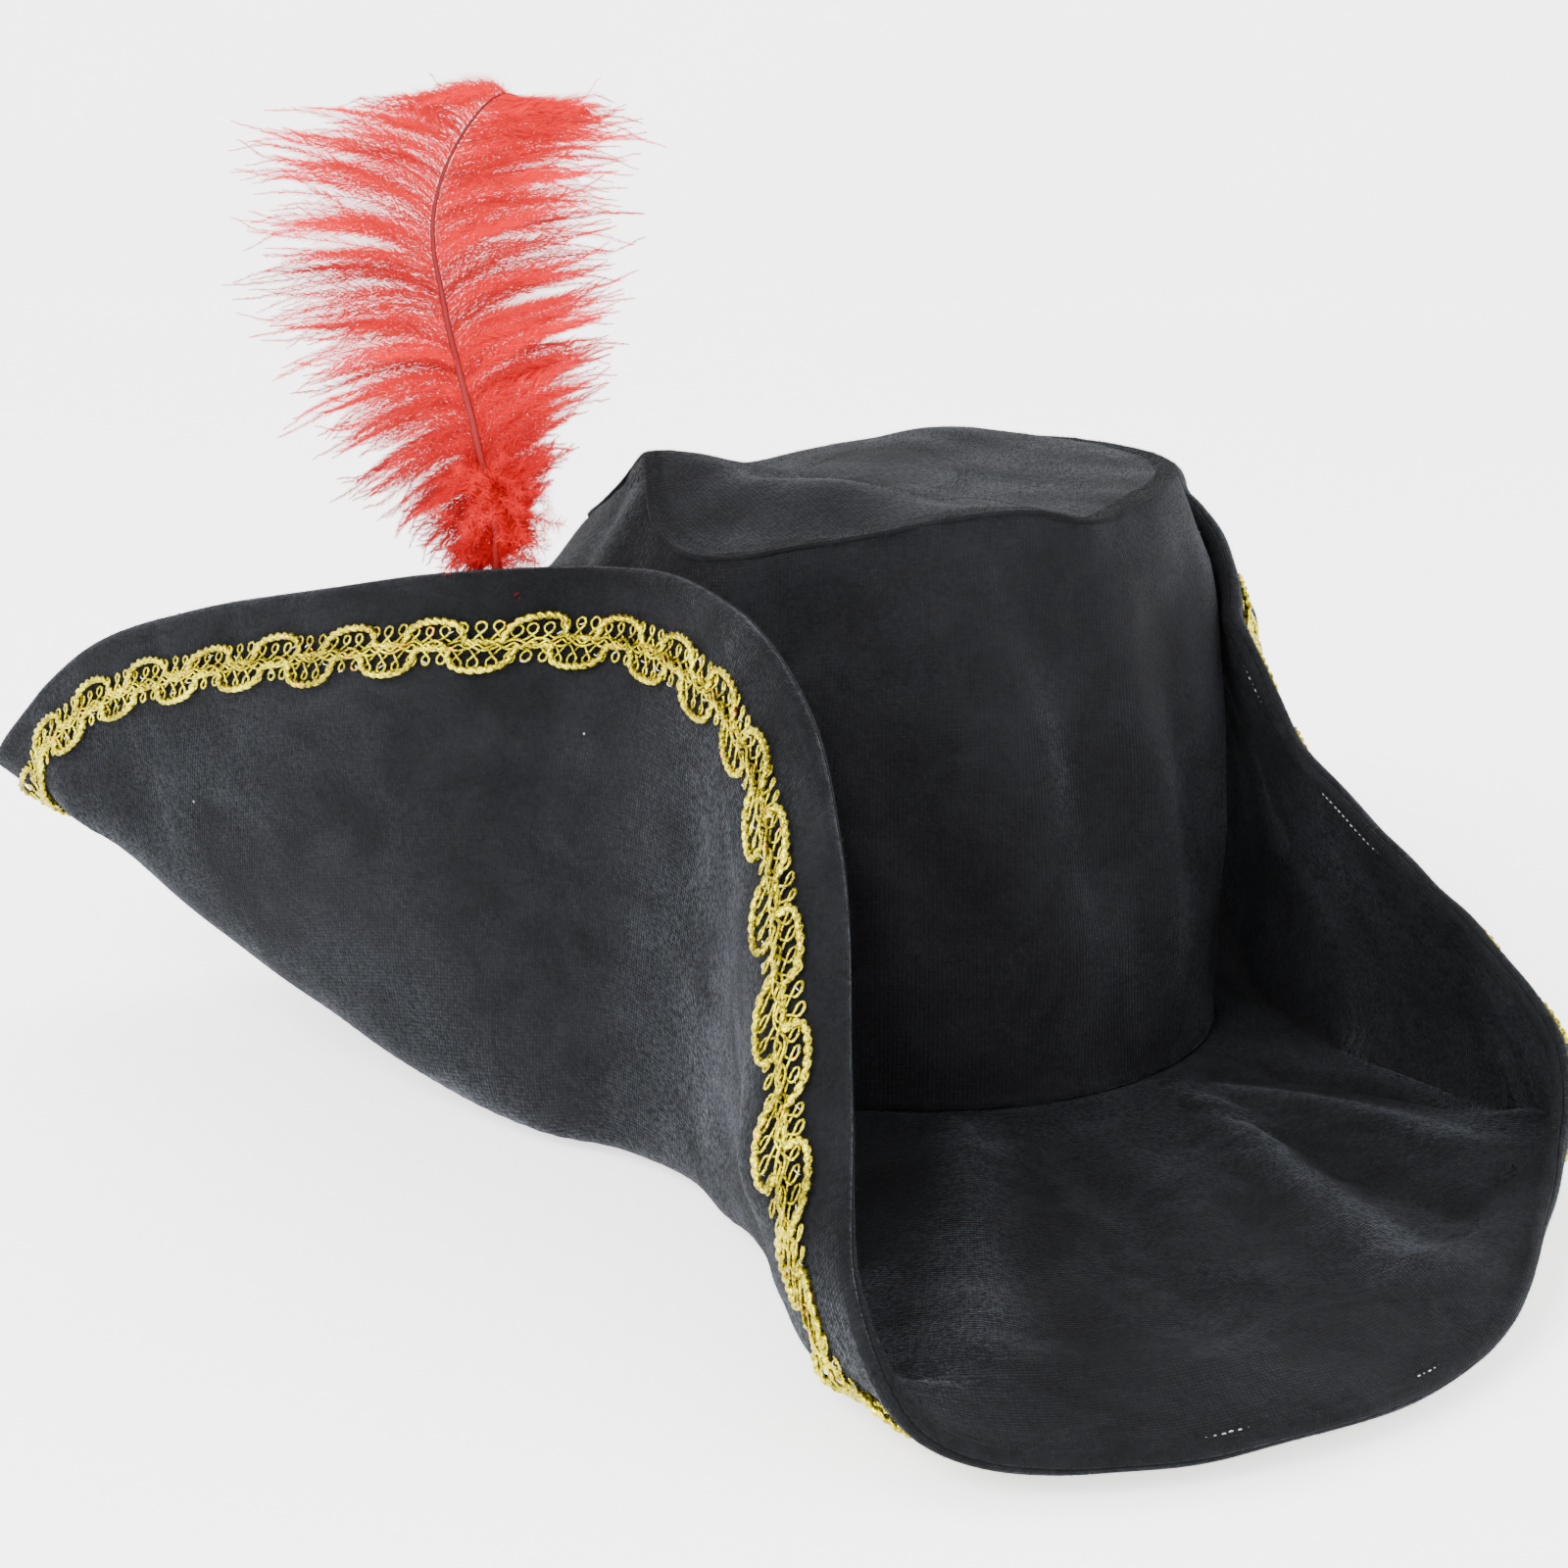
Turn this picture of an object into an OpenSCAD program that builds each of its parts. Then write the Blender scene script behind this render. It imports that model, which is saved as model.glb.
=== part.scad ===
// Pirate tricorn hat of pile velvet: soft crown with a flat top, a round brim turned up
// into three flaps, a metallic scalloped braid under the brim edge and one ostrich plume.
// Millimetres, +Z up. The origin is the middle of the head opening at table height; the
// broad front lobe of the brim points to -Y, one pointed corner to -X and one to +X.

/* [Head opening] */
// half width of the head opening, side to side
open_x = 86; // [78:1:92]
// half length of the head opening, front to back
open_y = 100; // [90:1:106]
// height of the seam between crown and brim over the table
seam_z = 17; // [10:1:30]

/* [Brim] */
// thickness of each velvet layer of the brim
velvet_t = 1.2; // [0.8:0.1:2]
// thickness of the stiff interlining between them
core_t = 2.0; // [1:0.1:3]
// clear gap between neighbouring layers
layer_gap = 0.25; // [0.2:0.05:0.5]
// facets along each of the brim's long smooth stretches
brim_n = 6; // [4:1:8]

/* [Crown] */
// thickness of the crown's foam backing
backing_t = 1.6; // [1:0.1:3]
// facets around the crown
crown_n = 40; // [36:4:60]

/* [Sweatband] */
// height of the sweatband
sweat_h = 30; // [20:1:40]
// thickness of the sweatband
sweat_t = 1.0; // [0.6:0.1:2]

/* [Braid] */
// plain velvet margin between the brim edge and the braid
braid_margin = 10; // [6:1:16]
// width of the braid over its scallops
braid_w = 16; // [12:1:20]
// scallops along each side of the braid, all round the hat
braid_scallops = 60; // [50:2:70]
// diameter of the twisted scallop cord
cord_d = 1.6; // [1:0.1:2.4]

/* [Plume] */
// height of the tack that holds the quill, over the table
tack_z = 142; // [120:1:150]
// half width of the plume's vane at its widest
vane_w = 42; // [30:1:55]
// thickness of the vane solids
vane_t = 2.4; // [1.5:0.1:4]

/* [Hidden] */

// ---- the brim: stations round the hat -------------------------------------------------
// [angle, fold control x y z, edge x y z, bulge outwards, bulge upwards], hand-set
front_left = [
  [154, -192, 104, 57, -199, 103, 99, 3, 0],
  [160, -182, 92, 44, -190, 80, 115, 5, 0],
  [168, -168, 74, 30, -174, 48, 128, 7, 0],
  [178, -150, 42, 15, -152, 8, 139, 9, 0],
  [190, -131, 6, 1, -126, -28, 148, 9, 0],
  [202, -116, -29, -4, -96, -46, 150, 9, 0],
  [214, -99, -52, -4, -85, -75, 150, 9, 0],
  [224, -91, -80, -4, -82, -112, 142, 8, 0],
  [232, -94, -108, -3, -83, -141, 124, 7, 0],
  [238, -98, -136, -1, -89, -166, 98, 5, 0],
  [243, -103, -164, 3, -99, -187, 64, 3, 0],
  [247, -107, -188, 5, -109, -208, 36, 2, 0],
  [252, -98, -205, 8, -109, -234, 15, 0, 2],
  [258, -70, -205, 8, -88, -251, 9.5, 0, 4],
  [264, -38, -208, 9, -50, -259, 8.5, 0, 5],
  [270, -2, -208, 10, -8, -255, 8.5, 0, 6]];
front_right = [
  [276, 32, -202, 11, 30, -239, 11.5, 0, 5],
  [282, 62, -188, 12, 58, -215, 22, 0, 3],
  [288, 90, -175, 12, 80, -192, 35, 1, 2],
  [293, 108, -158, 9, 88, -177, 45, 3, 0],
  [300, 114, -135, 2, 87, -149, 63, 5, 0],
  [308, 114, -110, -2, 84, -117, 78, 7, 0],
  [316, 112, -85, -4, 83, -87, 94, 9, 0],
  [326, 108, -58, -4, 83, -61, 124, 9, 0],
  [338, 110, -28, -1, 88, -32, 145, 9, 0],
  [348, 124, 4, 6, 100, 0, 153, 8, 0],
  [356, 134, 28, 17, 112, 26, 151, 8, 0],
  [364, 147, 52, 26, 130, 50, 138, 7, 0],
  [372, 162, 74, 36, 150, 72, 119, 5, 0],
  [380, 178, 94, 47, 172, 95, 101, 3, 0],
  [386, 190, 110, 56, 190, 114, 88, 2, 0]];
corner = [[148, -180, 115, 58, -206, 133, 75, 0, -2], [392, 180, 115, 58, 206, 133, 75, 0, -2]];
rear_left = [
  [142, -166, 134, 48, -178, 133, 90, 3, 0],
  [134, -140, 140, 36, -140, 128, 102, 5, 0],
  [124, -110, 140, 18, -104, 116, 108, 7, 0],
  [112, -72, 136, 4, -68, 113, 112, 8, 0],
  [100, -34, 132, -3, -28, 110, 121, 8, 0],
  [90, 0, 131, -6, 0, 109, 125, 8, 0]];
rear_right = [for (k = [0:4]) let (r = rear_left[k])
  [180 - r[0], -r[1], r[2], r[3], -r[4], r[5], r[6], r[7], r[8]]];

// in order of angle from 32 to 386 degrees
brim_table = concat([[32, 180, 115, 58, 206, 133, 75, 0, -2]],
  [for (k = [0:4]) rear_right[k]],
  [for (k = [5:-1:0]) rear_left[k]],
  [corner[0]], front_left, front_right);

// smooth periodic curve through a table whose first column is an angle
function tab_x(t, i) = let (n = len(t)) t[(i % n + n) % n][0] + 360 * floor(i / n);
function tab_y(t, i, c) = let (n = len(t)) t[(i % n + n) % n][c];
function tab_m(t, i, c) = let (h0 = tab_x(t, i) - tab_x(t, i - 1), h1 = tab_x(t, i + 1) - tab_x(t, i),
  d0 = (tab_y(t, i, c) - tab_y(t, i - 1, c)) / h0, d1 = (tab_y(t, i + 1, c) - tab_y(t, i, c)) / h1)
  (d0 * h1 + d1 * h0) / (h0 + h1);
function wrap(u, u0) = u0 + ((u - u0) % 360 + 360) % 360;
function find(t, u, i = 0) = (i + 1 >= len(t) || tab_x(t, i + 1) > u) ? i : find(t, u, i + 1);
function curve(t, u, c) = let (x = wrap(u, t[0][0]), i = find(t, x), h = tab_x(t, i + 1) - tab_x(t, i),
  s = (x - tab_x(t, i)) / h)
  (1 + 2 * s) * pow(1 - s, 2) * tab_y(t, i, c) + s * pow(1 - s, 2) * h * tab_m(t, i, c)
  + s * s * (3 - 2 * s) * tab_y(t, i + 1, c) + s * s * (s - 1) * h * tab_m(t, i + 1, c);

function oval_r(u, ax, ay) = 1 / sqrt(pow(cos(u) / ax, 2) + pow(sin(u) / ay, 2));
function polar(u, r, z) = [r * cos(u), r * sin(u), z];
function mix(a, b, t) = a + (b - a) * t;
function unit(v) = v / max(norm(v), 1e-9);

// one section of the brim, from the seam to the edge: five control points
function section_controls(u) = let (
  b = polar(u, oval_r(u, open_x, open_y), seam_z),
  f = [for (c = [1:3]) curve(brim_table, u, c)], e = [for (c = [4:6]) curve(brim_table, u, c)],
  m0 = (f + e) / 2, rr = norm([m0[0], m0[1]]), o = curve(brim_table, u, 7),
  m = m0 + [m0[0] / rr * o, m0[1] / rr * o, curve(brim_table, u, 8)])
  [b, mix(f, b, 0.22), mix(f, m, 0.3), m, e];
function quad(a, b, c, t) = pow(1 - t, 2) * a + 2 * t * (1 - t) * b + t * t * c;
function section_at(q, t) =
  t < 1 ? quad(q[0], q[1], (q[1] + q[2]) / 2, t) :
  t < 2 ? quad((q[1] + q[2]) / 2, q[2], (q[2] + q[3]) / 2, t - 1) :
          quad((q[2] + q[3]) / 2, q[3], q[4], t - 2);
section_t = [0.5, 0.95, 1.35, 1.75, 2.2, 2.65, 3];
// the brim starts a little outside the seam line
function first_t(q) = 2.6 / 2 / norm(q[1] - q[0]);
// stations round the hat, close together at the two pointed corners
function span(a, b, n) = [for (i = [0:n - 1]) a + (b - a) * i / n];
brim_angles = concat(span(0, 20, 4), span(20, 44, 12), span(44, 136, 2 * brim_n + 2), span(136, 160, 12), span(160, 190, brim_n),
  span(190, 216, 8), span(216, 240, 6), span(240, 256, 8), span(256, 286, brim_n), span(286, 300, 6), span(300, 360, 2 * brim_n));
brim_mid = [for (u = brim_angles) let (q = section_controls(u)) concat([section_at(q, first_t(q))], [for (t = section_t) section_at(q, t)])];
// unit normals of a grid that closes on itself in its first index; they point under the brim
function grid_normals(g) = let (n = len(g), m = len(g[0]))
  [for (i = [0:n - 1]) [for (j = [0:m - 1]) let (
    a = g[(i + 1) % n][j] - g[(i + n - 1) % n][j],
    b = g[i][min(j + 1, m - 1)] - g[i][max(j - 1, 0)]) unit(cross(b, a)) * -1]];
brim_nrm = grid_normals(brim_mid);

// a closed ring-shaped shell between two grids of the same size
module shell(top, low) {
  n = len(top);
  m = len(top[0]);
  pts = concat([for (r = top) for (p = r) p], [for (r = low) for (p = r) p]);
  o = n * m;
  function id(i, j) = (i % n) * m + j;
  polyhedron(pts, concat(
    [for (i = [0:n - 1]) for (j = [0:m - 2]) [id(i, j), id(i, j + 1), id(i + 1, j)]],
    [for (i = [0:n - 1]) for (j = [0:m - 2]) [id(i + 1, j), id(i, j + 1), id(i + 1, j + 1)]],
    [for (i = [0:n - 1]) for (j = [0:m - 2]) [o + id(i, j), o + id(i + 1, j), o + id(i, j + 1)]],
    [for (i = [0:n - 1]) for (j = [0:m - 2]) [o + id(i + 1, j), o + id(i + 1, j + 1), o + id(i, j + 1)]],
    [for (i = [0:n - 1]) [id(i, 0), id(i + 1, 0), o + id(i, 0)]],
    [for (i = [0:n - 1]) [id(i + 1, 0), o + id(i + 1, 0), o + id(i, 0)]],
    [for (i = [0:n - 1]) [id(i, m - 1), o + id(i, m - 1), id(i + 1, m - 1)]],
    [for (i = [0:n - 1]) [id(i + 1, m - 1), o + id(i, m - 1), o + id(i + 1, m - 1)]]), convexity = 8);
}
function offset_grid(g, nn, d) = [for (i = [0:len(g) - 1]) [for (j = [0:len(g[0]) - 1]) g[i][j] + nn[i][j] * d]];
half_core = core_t / 2;
velvet_in = half_core + layer_gap;
velvet_out = velvet_in + velvet_t;

module brim_upper_velvet() {
  color([0.07, 0.07, 0.08]) shell(offset_grid(brim_mid, brim_nrm, -velvet_out), offset_grid(brim_mid, brim_nrm, -velvet_in));
}
module brim_interlining() {
  color([0.16, 0.16, 0.17]) shell(offset_grid(brim_mid, brim_nrm, -half_core), offset_grid(brim_mid, brim_nrm, half_core));
}
module brim_under_velvet() {
  color([0.07, 0.07, 0.08]) shell(offset_grid(brim_mid, brim_nrm, velvet_in), offset_grid(brim_mid, brim_nrm, velvet_out));
}

// ---- lines that follow the brim at a set distance from its edge -------------------------
function seglen(p) = [for (i = [1:len(p) - 1]) norm(p[i] - p[i - 1])];
function walk(p, d, i, done) = let (s = norm(p[i] - p[i - 1]))
  (done + s >= d || i <= 1) ? mix(p[i], p[i - 1], min(1, (d - done) / s)) : walk(p, d, i - 1, done + s);
fine_t = [1.4, 1.7, 2, 2.2, 2.4, 2.6, 2.8, 3];
// point that far from the edge, with the normal there, on the under face
function rim_frame(u, d) = let (
  q = section_controls(u), p = [for (t = fine_t) section_at(q, t)],
  a = walk(p, d, len(p) - 1, 0), a2 = walk(p, d + 1.5, len(p) - 1, 0),
  qb = section_controls(u + 0.6), pb = [for (t = fine_t) section_at(qb, t)],
  b = walk(pb, d, len(pb) - 1, 0))
  [a, unit(cross(unit(a - a2), unit(b - a))) * -1];
function rim_point(u, d, off) = let (f = rim_frame(u, d)) f[0] + f[1] * off;

// square closed tube along a closed line of [centre, normal] frames
module band(line, w, t) {
  n = len(line);
  function tan_at(i) = unit(line[(i + 1) % n][0] - line[(i + n - 1) % n][0]);
  pts = [for (i = [0:n - 1]) let (c = line[i][0], nn = line[i][1], s = unit(cross(tan_at(i), nn)))
    for (k = [[-1, -1], [1, -1], [1, 1], [-1, 1]]) c + s * k[0] * w / 2 + nn * k[1] * t / 2];
  polyhedron(pts, [for (i = [0:n - 1]) for (k = [0:3]) let (a = i * 4 + k, b = i * 4 + (k + 1) % 4,
    c = ((i + 1) % n) * 4 + (k + 1) % 4, d = ((i + 1) % n) * 4 + k) for (f = [[a, b, c], [a, c, d]]) f], convexity = 8);
}
rim_angles = [for (i = [0:len(brim_angles) - 1]) let (a = brim_angles[i], b = i + 1 < len(brim_angles) ? brim_angles[i + 1] : 360) for (u = (b - a > 4.5 ? [a, (a + b) / 2] : [a])) u];
function rim_line(d, off) = [for (u = rim_angles) let (f = rim_frame(u, d)) [f[0] + f[1] * off, f[1]]];

braid_mid = braid_margin + braid_w / 2;
braid_off = velvet_out + 0.6;
module braid_loop_lace() {
  color([0.80, 0.66, 0.20]) band(rim_line(braid_mid, braid_off + 0.4), braid_w - 5, 0.6);
}
module braid_centre_chain() {
  color([0.72, 0.58, 0.16]) band(rim_line(braid_mid, braid_off + 2.2), 2, 0.9);
}
// scallop k of a side stands out from the middle; the two sides are half a pitch apart
function scallop(i, per, side) = let (n = braid_scallops, ph = i / per + (side > 0 ? 0 : 0.5),
  f = ph - floor(ph)) braid_mid - side * (2.6 + (braid_w / 2 - 3.4) * sqrt(abs(sin(180 * f))));
module scallops(side) {
  per = 4;
  n = braid_scallops * per;
  band([for (i = [0:n - 1]) let (f = rim_frame(i * 360 / n, scallop(i, per, side))) [f[0] + f[1] * (braid_off + 1.3 + cord_d / 2), f[1]]], cord_d * 0.9, cord_d * 0.9);
}
module braid_outer_scallops() {
  color([0.86, 0.74, 0.22]) scallops(1);
}
module braid_inner_scallops() {
  color([0.86, 0.74, 0.22]) scallops(-1);
}
module hem_stitching() {
  color([0.85, 0.85, 0.85]) band(rim_line(2.6, -velvet_out - 1.3), 0.5, 0.4);
}

// ---- the crown ----------------------------------------------------------------------
// seam between the flat top and the side: [angle, radius, height]
tip_table = [
  [0, 76, 161], [33, 82, 158], [65, 86, 152], [95, 87, 148], [125, 84, 145], [150, 76, 148],
  [165, 68, 159], [176, 65, 168], [187, 70, 165], [198, 78, 156], [208, 84, 152], [218, 88, 152], [231, 87, 156],
  [242, 86, 159], [253, 85, 162], [269, 84, 163], [282, 84, 159], [292, 80, 160], [325, 77, 162]];
side_rows = [0, 0.12, 0.3, 0.5, 0.7, 0.88, 1];
// radius of the side at a height share k: soft belly below the seam of the top
function side_r(u, k) = let (r0 = oval_r(u, open_x + 0.5, open_y + 0.5), r1 = curve(tip_table, u, 1),
  belly = sin(180 * pow(k, 0.8))) mix(r0, r1, pow(k, 1.6)) + belly * (2 + 1.5 * cos(3 * u + 40));
function side_point(u, k, d) = let (z0 = seam_z + 3.2, z1 = curve(tip_table, u, 2) - 1.4)
  polar(u, side_r(u, k) - d, mix(z0, z1, k));
function side_grid(d, lo, hi) = [for (i = [0:crown_n - 1]) [for (k = side_rows) let (kk = mix(lo, hi, k)) side_point(i * 360 / crown_n, kk, d)]];
module crown_side_velvet() {
  color([0.08, 0.08, 0.09]) shell(side_grid(velvet_t, 0, 1), side_grid(0, 0, 1));
}
module crown_side_backing() {
  color([0.13, 0.13, 0.14]) shell(side_grid(velvet_t + layer_gap + backing_t, 0.02, 0.985), side_grid(velvet_t + layer_gap, 0.02, 0.985));
}

// height of the top at a share k of the way from its middle to its seam
function hill(x, y, x0, y0, ang, la, lb, h) = let (dx = x - x0, dy = y - y0,
  a = dx * cos(ang) + dy * sin(ang), b = -dx * sin(ang) + dy * cos(ang)) h * exp(-a * a / (la * la) - b * b / (lb * lb));
function tip_z(u, k) = let (r = curve(tip_table, u, 1) * k, x = r * cos(u), y = r * sin(u), edge = 1 - pow(k, 6))
  mix(158, curve(tip_table, u, 2), k * k) + edge * (hill(x, y, -46, -32, -65, 42, 17, 10) + hill(x, y, 25, 38, 20, 55, 34, 7)
  + hill(x, y, -28, 30, 40, 40, 26, -5));
tip_rows = [0.18, 0.4, 0.6, 0.78, 0.92, 1];
function tip_point(u, k, d, shrink) = let (r = curve(tip_table, u, 1), q = k * (r - shrink) / r) polar(u, r * q, tip_z(u, q) - d);
module cap(d0, d1, shrink) {
  n = crown_n;
  m = len(tip_rows);
  pts = concat([for (i = [0:n - 1]) for (k = tip_rows) tip_point(i * 360 / n, k, d0, shrink)],
    [for (i = [0:n - 1]) for (k = tip_rows) tip_point(i * 360 / n, k, d1, shrink)],
    [[0, 0, tip_z(0, 0) - d0], [0, 0, tip_z(0, 0) - d1]]);
  o = n * m;
  function id(i, j) = (i % n) * m + j;
  polyhedron(pts, concat(
    [for (i = [0:n - 1]) [2 * o, id(i + 1, 0), id(i, 0)]],
    [for (i = [0:n - 1]) [2 * o + 1, o + id(i, 0), o + id(i + 1, 0)]],
    [for (i = [0:n - 1]) for (j = [0:m - 2]) [id(i, j), id(i + 1, j), id(i, j + 1)]],
    [for (i = [0:n - 1]) for (j = [0:m - 2]) [id(i + 1, j), id(i + 1, j + 1), id(i, j + 1)]],
    [for (i = [0:n - 1]) for (j = [0:m - 2]) [o + id(i, j), o + id(i, j + 1), o + id(i + 1, j)]],
    [for (i = [0:n - 1]) for (j = [0:m - 2]) [o + id(i + 1, j), o + id(i, j + 1), o + id(i + 1, j + 1)]],
    [for (i = [0:n - 1]) [id(i, m - 1), id(i + 1, m - 1), o + id(i, m - 1)]],
    [for (i = [0:n - 1]) [id(i + 1, m - 1), o + id(i + 1, m - 1), o + id(i, m - 1)]]), convexity = 6);
}
module crown_tip_velvet() {
  color([0.09, 0.09, 0.10]) cap(0, velvet_t, 0);
}
module crown_tip_backing() {
  color([0.13, 0.13, 0.14]) cap(velvet_t + 1.6, velvet_t + 1.6 + backing_t, 7);
}

// ---- inside the head opening --------------------------------------------------------
function ring_grid(d, z0, z1) = [for (i = [0:crown_n - 1]) let (u = i * 360 / crown_n) [for (z = [z0, z1]) polar(u, oval_r(u, open_x, open_y) - d, z)]];
module headline_tape() {
  color([0.05, 0.05, 0.05]) shell(ring_grid(1.5, seam_z - 4, seam_z + 2.6), ring_grid(0.4, seam_z - 4, seam_z + 2.6));
}
module sweatband() {
  color([0.10, 0.10, 0.11]) shell(ring_grid(4.2 + sweat_t, seam_z - 5, seam_z - 5 + sweat_h), ring_grid(4.2, seam_z - 5, seam_z - 5 + sweat_h));
}
module sweatband_stitching() {
  color([0.30, 0.30, 0.32]) shell(ring_grid(4.2 + sweat_t + 0.65, seam_z - 2.6, seam_z - 2.0), ring_grid(4.2 + sweat_t + 0.25, seam_z - 2.6, seam_z - 2.0));
}

// ---- stitches that hold the flaps to the crown ------------------------------------------
module rod(a, b, d, fn = 6) {
  v = b - a;
  translate(a) rotate([0, acos(v[2] / norm(v)), atan2(v[1], v[0])]) cylinder(h = norm(v), d = d, $fn = fn);
}
module tack(u, r0, r1, z) {
  for (k = [-1, 1]) rod(polar(u, r0, z) + [0, 0, 1.3 * k], polar(u, r1, z - 1) + [0, 0, 1.3 * k], 0.9);
}
module left_flap_tack() {
  color([0.05, 0.05, 0.05]) tack(209, side_r(209, 0.92) + 0.4, 97.5, 142);
}
module right_flap_tack() {
  color([0.05, 0.05, 0.05]) tack(344, side_r(344, 0.86) + 0.4, 91.5, 140);
}
module rear_flap_tack() {
  color([0.05, 0.05, 0.05]) tack(90, side_r(90, 0.72) + 0.4, 105, 118);
}

// ---- the plume ------------------------------------------------------------------------
plume_ang = -25; // the vane lies along this direction
plume_base = [-117, -26, 0];
px = [cos(plume_ang), sin(plume_ang), 0];
py = [-sin(plume_ang), cos(plume_ang), 0];
function plume(a, b, z) = plume_base + px * a + py * b + [0, 0, z];
// shaft: [height, sideways, backwards, radius]
shaft_low = [[98, 6, 4, 1.3], [122, 3.5, 2, 1.3], [142, 1.5, 0, 1.25], [158, 1, 0, 1.1], [174, -2, 0, 1.0], [188, -5, 0.6, 0.9], [199, -7.6, 1, 0.85]];
shaft_high = [[200.4, -8, 1.1, 0.8], [214, -10.6, 2, 0.7], [226, -12.4, 3, 0.6], [236, -11.4, 4, 0.5], [245, -8, 6, 0.45], [253, -3, 8, 0.35], [258, 1.5, 10, 0.3]];
module shaft(t) {
  for (i = [0:len(t) - 2]) let (a = plume(t[i][1], t[i][2], t[i][0]), b = plume(t[i + 1][1], t[i + 1][2], t[i + 1][0]), v = b - a)
    translate(a) rotate([0, acos(v[2] / norm(v)), atan2(v[1], v[0])]) cylinder(h = norm(v) + (i < len(t) - 2 ? 0.2 : 0), r1 = t[i][3], r2 = t[i + 1][3], $fn = 10);
}
module quill() {
  color([0.85, 0.25, 0.22]) shaft(shaft_low);
}
module upper_shaft() {
  color([0.85, 0.25, 0.22]) shaft(shaft_high);
}
// vane solids: rows [height, inner side, outer side, backwards], joined into a bent plate
module vane(rows) {
  n = len(rows);
  pts = [for (r = rows) for (q = [[r[1], -1], [r[2], -1], [r[2], 1], [r[1], 1]]) plume(q[0], r[3] + q[1] * vane_t / 2, r[0])];
  polyhedron(pts, concat([[0, 1, 2], [0, 2, 3]],
    [for (i = [0:n - 2]) for (k = [0:3]) let (a = i * 4 + k, b = i * 4 + (k + 1) % 4) for (f = [[a, a + 4, b + 4], [a, b + 4, b]]) f],
    [[(n - 1) * 4 + 2, (n - 1) * 4 + 1, (n - 1) * 4], [(n - 1) * 4 + 3, (n - 1) * 4 + 2, (n - 1) * 4]]), convexity = 4);
}
function shaft_at(t, z, c) = let (k = [for (i = [0:len(t) - 2]) if (t[i + 1][0] >= z || i == len(t) - 2) i][0],
  s = (z - t[k][0]) / (t[k + 1][0] - t[k][0])) mix(t[k][c], t[k + 1][c], s);
module side_vane(t, side, list) {
  vane([for (r = list) let (x0 = shaft_at(t, r[0], 1) + side * 1.9, x1 = side * r[1] * vane_w / 42 + shaft_at(t, r[0], 1), b = shaft_at(t, r[0], 2))
    side > 0 ? [r[0], x0, x1, b] : [r[0], x1, x0, b]]);
}
module lower_barbs_left() {
  color([0.92, 0.16, 0.16]) side_vane(shaft_low, -1, [[165, 14], [172, 26], [182, 38], [192, 44], [199, 46]]);
}
module lower_barbs_right() {
  color([0.92, 0.16, 0.16]) side_vane(shaft_low, 1, [[165, 16], [172, 26], [182, 36], [192, 42], [199, 46]]);
}
module upper_barbs_left() {
  color([0.94, 0.22, 0.24]) side_vane(shaft_high, -1, [[200.5, 46], [212, 48], [226, 46], [242, 44], [252, 36], [258, 22]]);
}
module upper_barbs_right() {
  color([0.94, 0.22, 0.24]) side_vane(shaft_high, 1, [[200.5, 46], [214, 50], [228, 52], [242, 52], [252, 44], [258, 30]]);
}
// soft down round the foot of the vane, with a clear hole for the quill
module base_down() {
  color([0.95, 0.10, 0.10]) translate([0, 0, 0]) difference() {
    hull() {
      translate(plume(0, 0, 156)) scale([1, 1, 0.35]) sphere(d = 16, $fn = 16);
      translate(plume(-0.5, 0, 163)) cylinder(h = 1, d = 14, $fn = 16);
    }
    translate(plume(1.5, 0, 142)) rotate([0, 0, plume_ang]) rotate([0, -4.6, 0]) cylinder(h = 40, d = 6.5, $fn = 16);
  }
}
// loops of thread that hold the quill against the inner face of the flap
module quill_tack_thread() {
  color([0.10, 0.10, 0.10]) for (z = [tack_z - 2.2, tack_z + 2.2])
    translate(plume(shaft_at(shaft_low, z, 1), shaft_at(shaft_low, z, 2), z)) rotate_extrude($fn = 20) translate([2.5, 0]) circle(d = 0.8, $fn = 6);
}

crown_tip_velvet();
crown_tip_backing();
crown_side_velvet();
crown_side_backing();
brim_upper_velvet();
brim_interlining();
brim_under_velvet();
headline_tape();
sweatband();
sweatband_stitching();
hem_stitching();
braid_centre_chain();
braid_outer_scallops();
braid_inner_scallops();
braid_loop_lace();
left_flap_tack();
right_flap_tack();
rear_flap_tack();
quill();
quill_tack_thread();
lower_barbs_left();
lower_barbs_right();
base_down();
upper_shaft();
upper_barbs_left();
upper_barbs_right();
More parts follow.
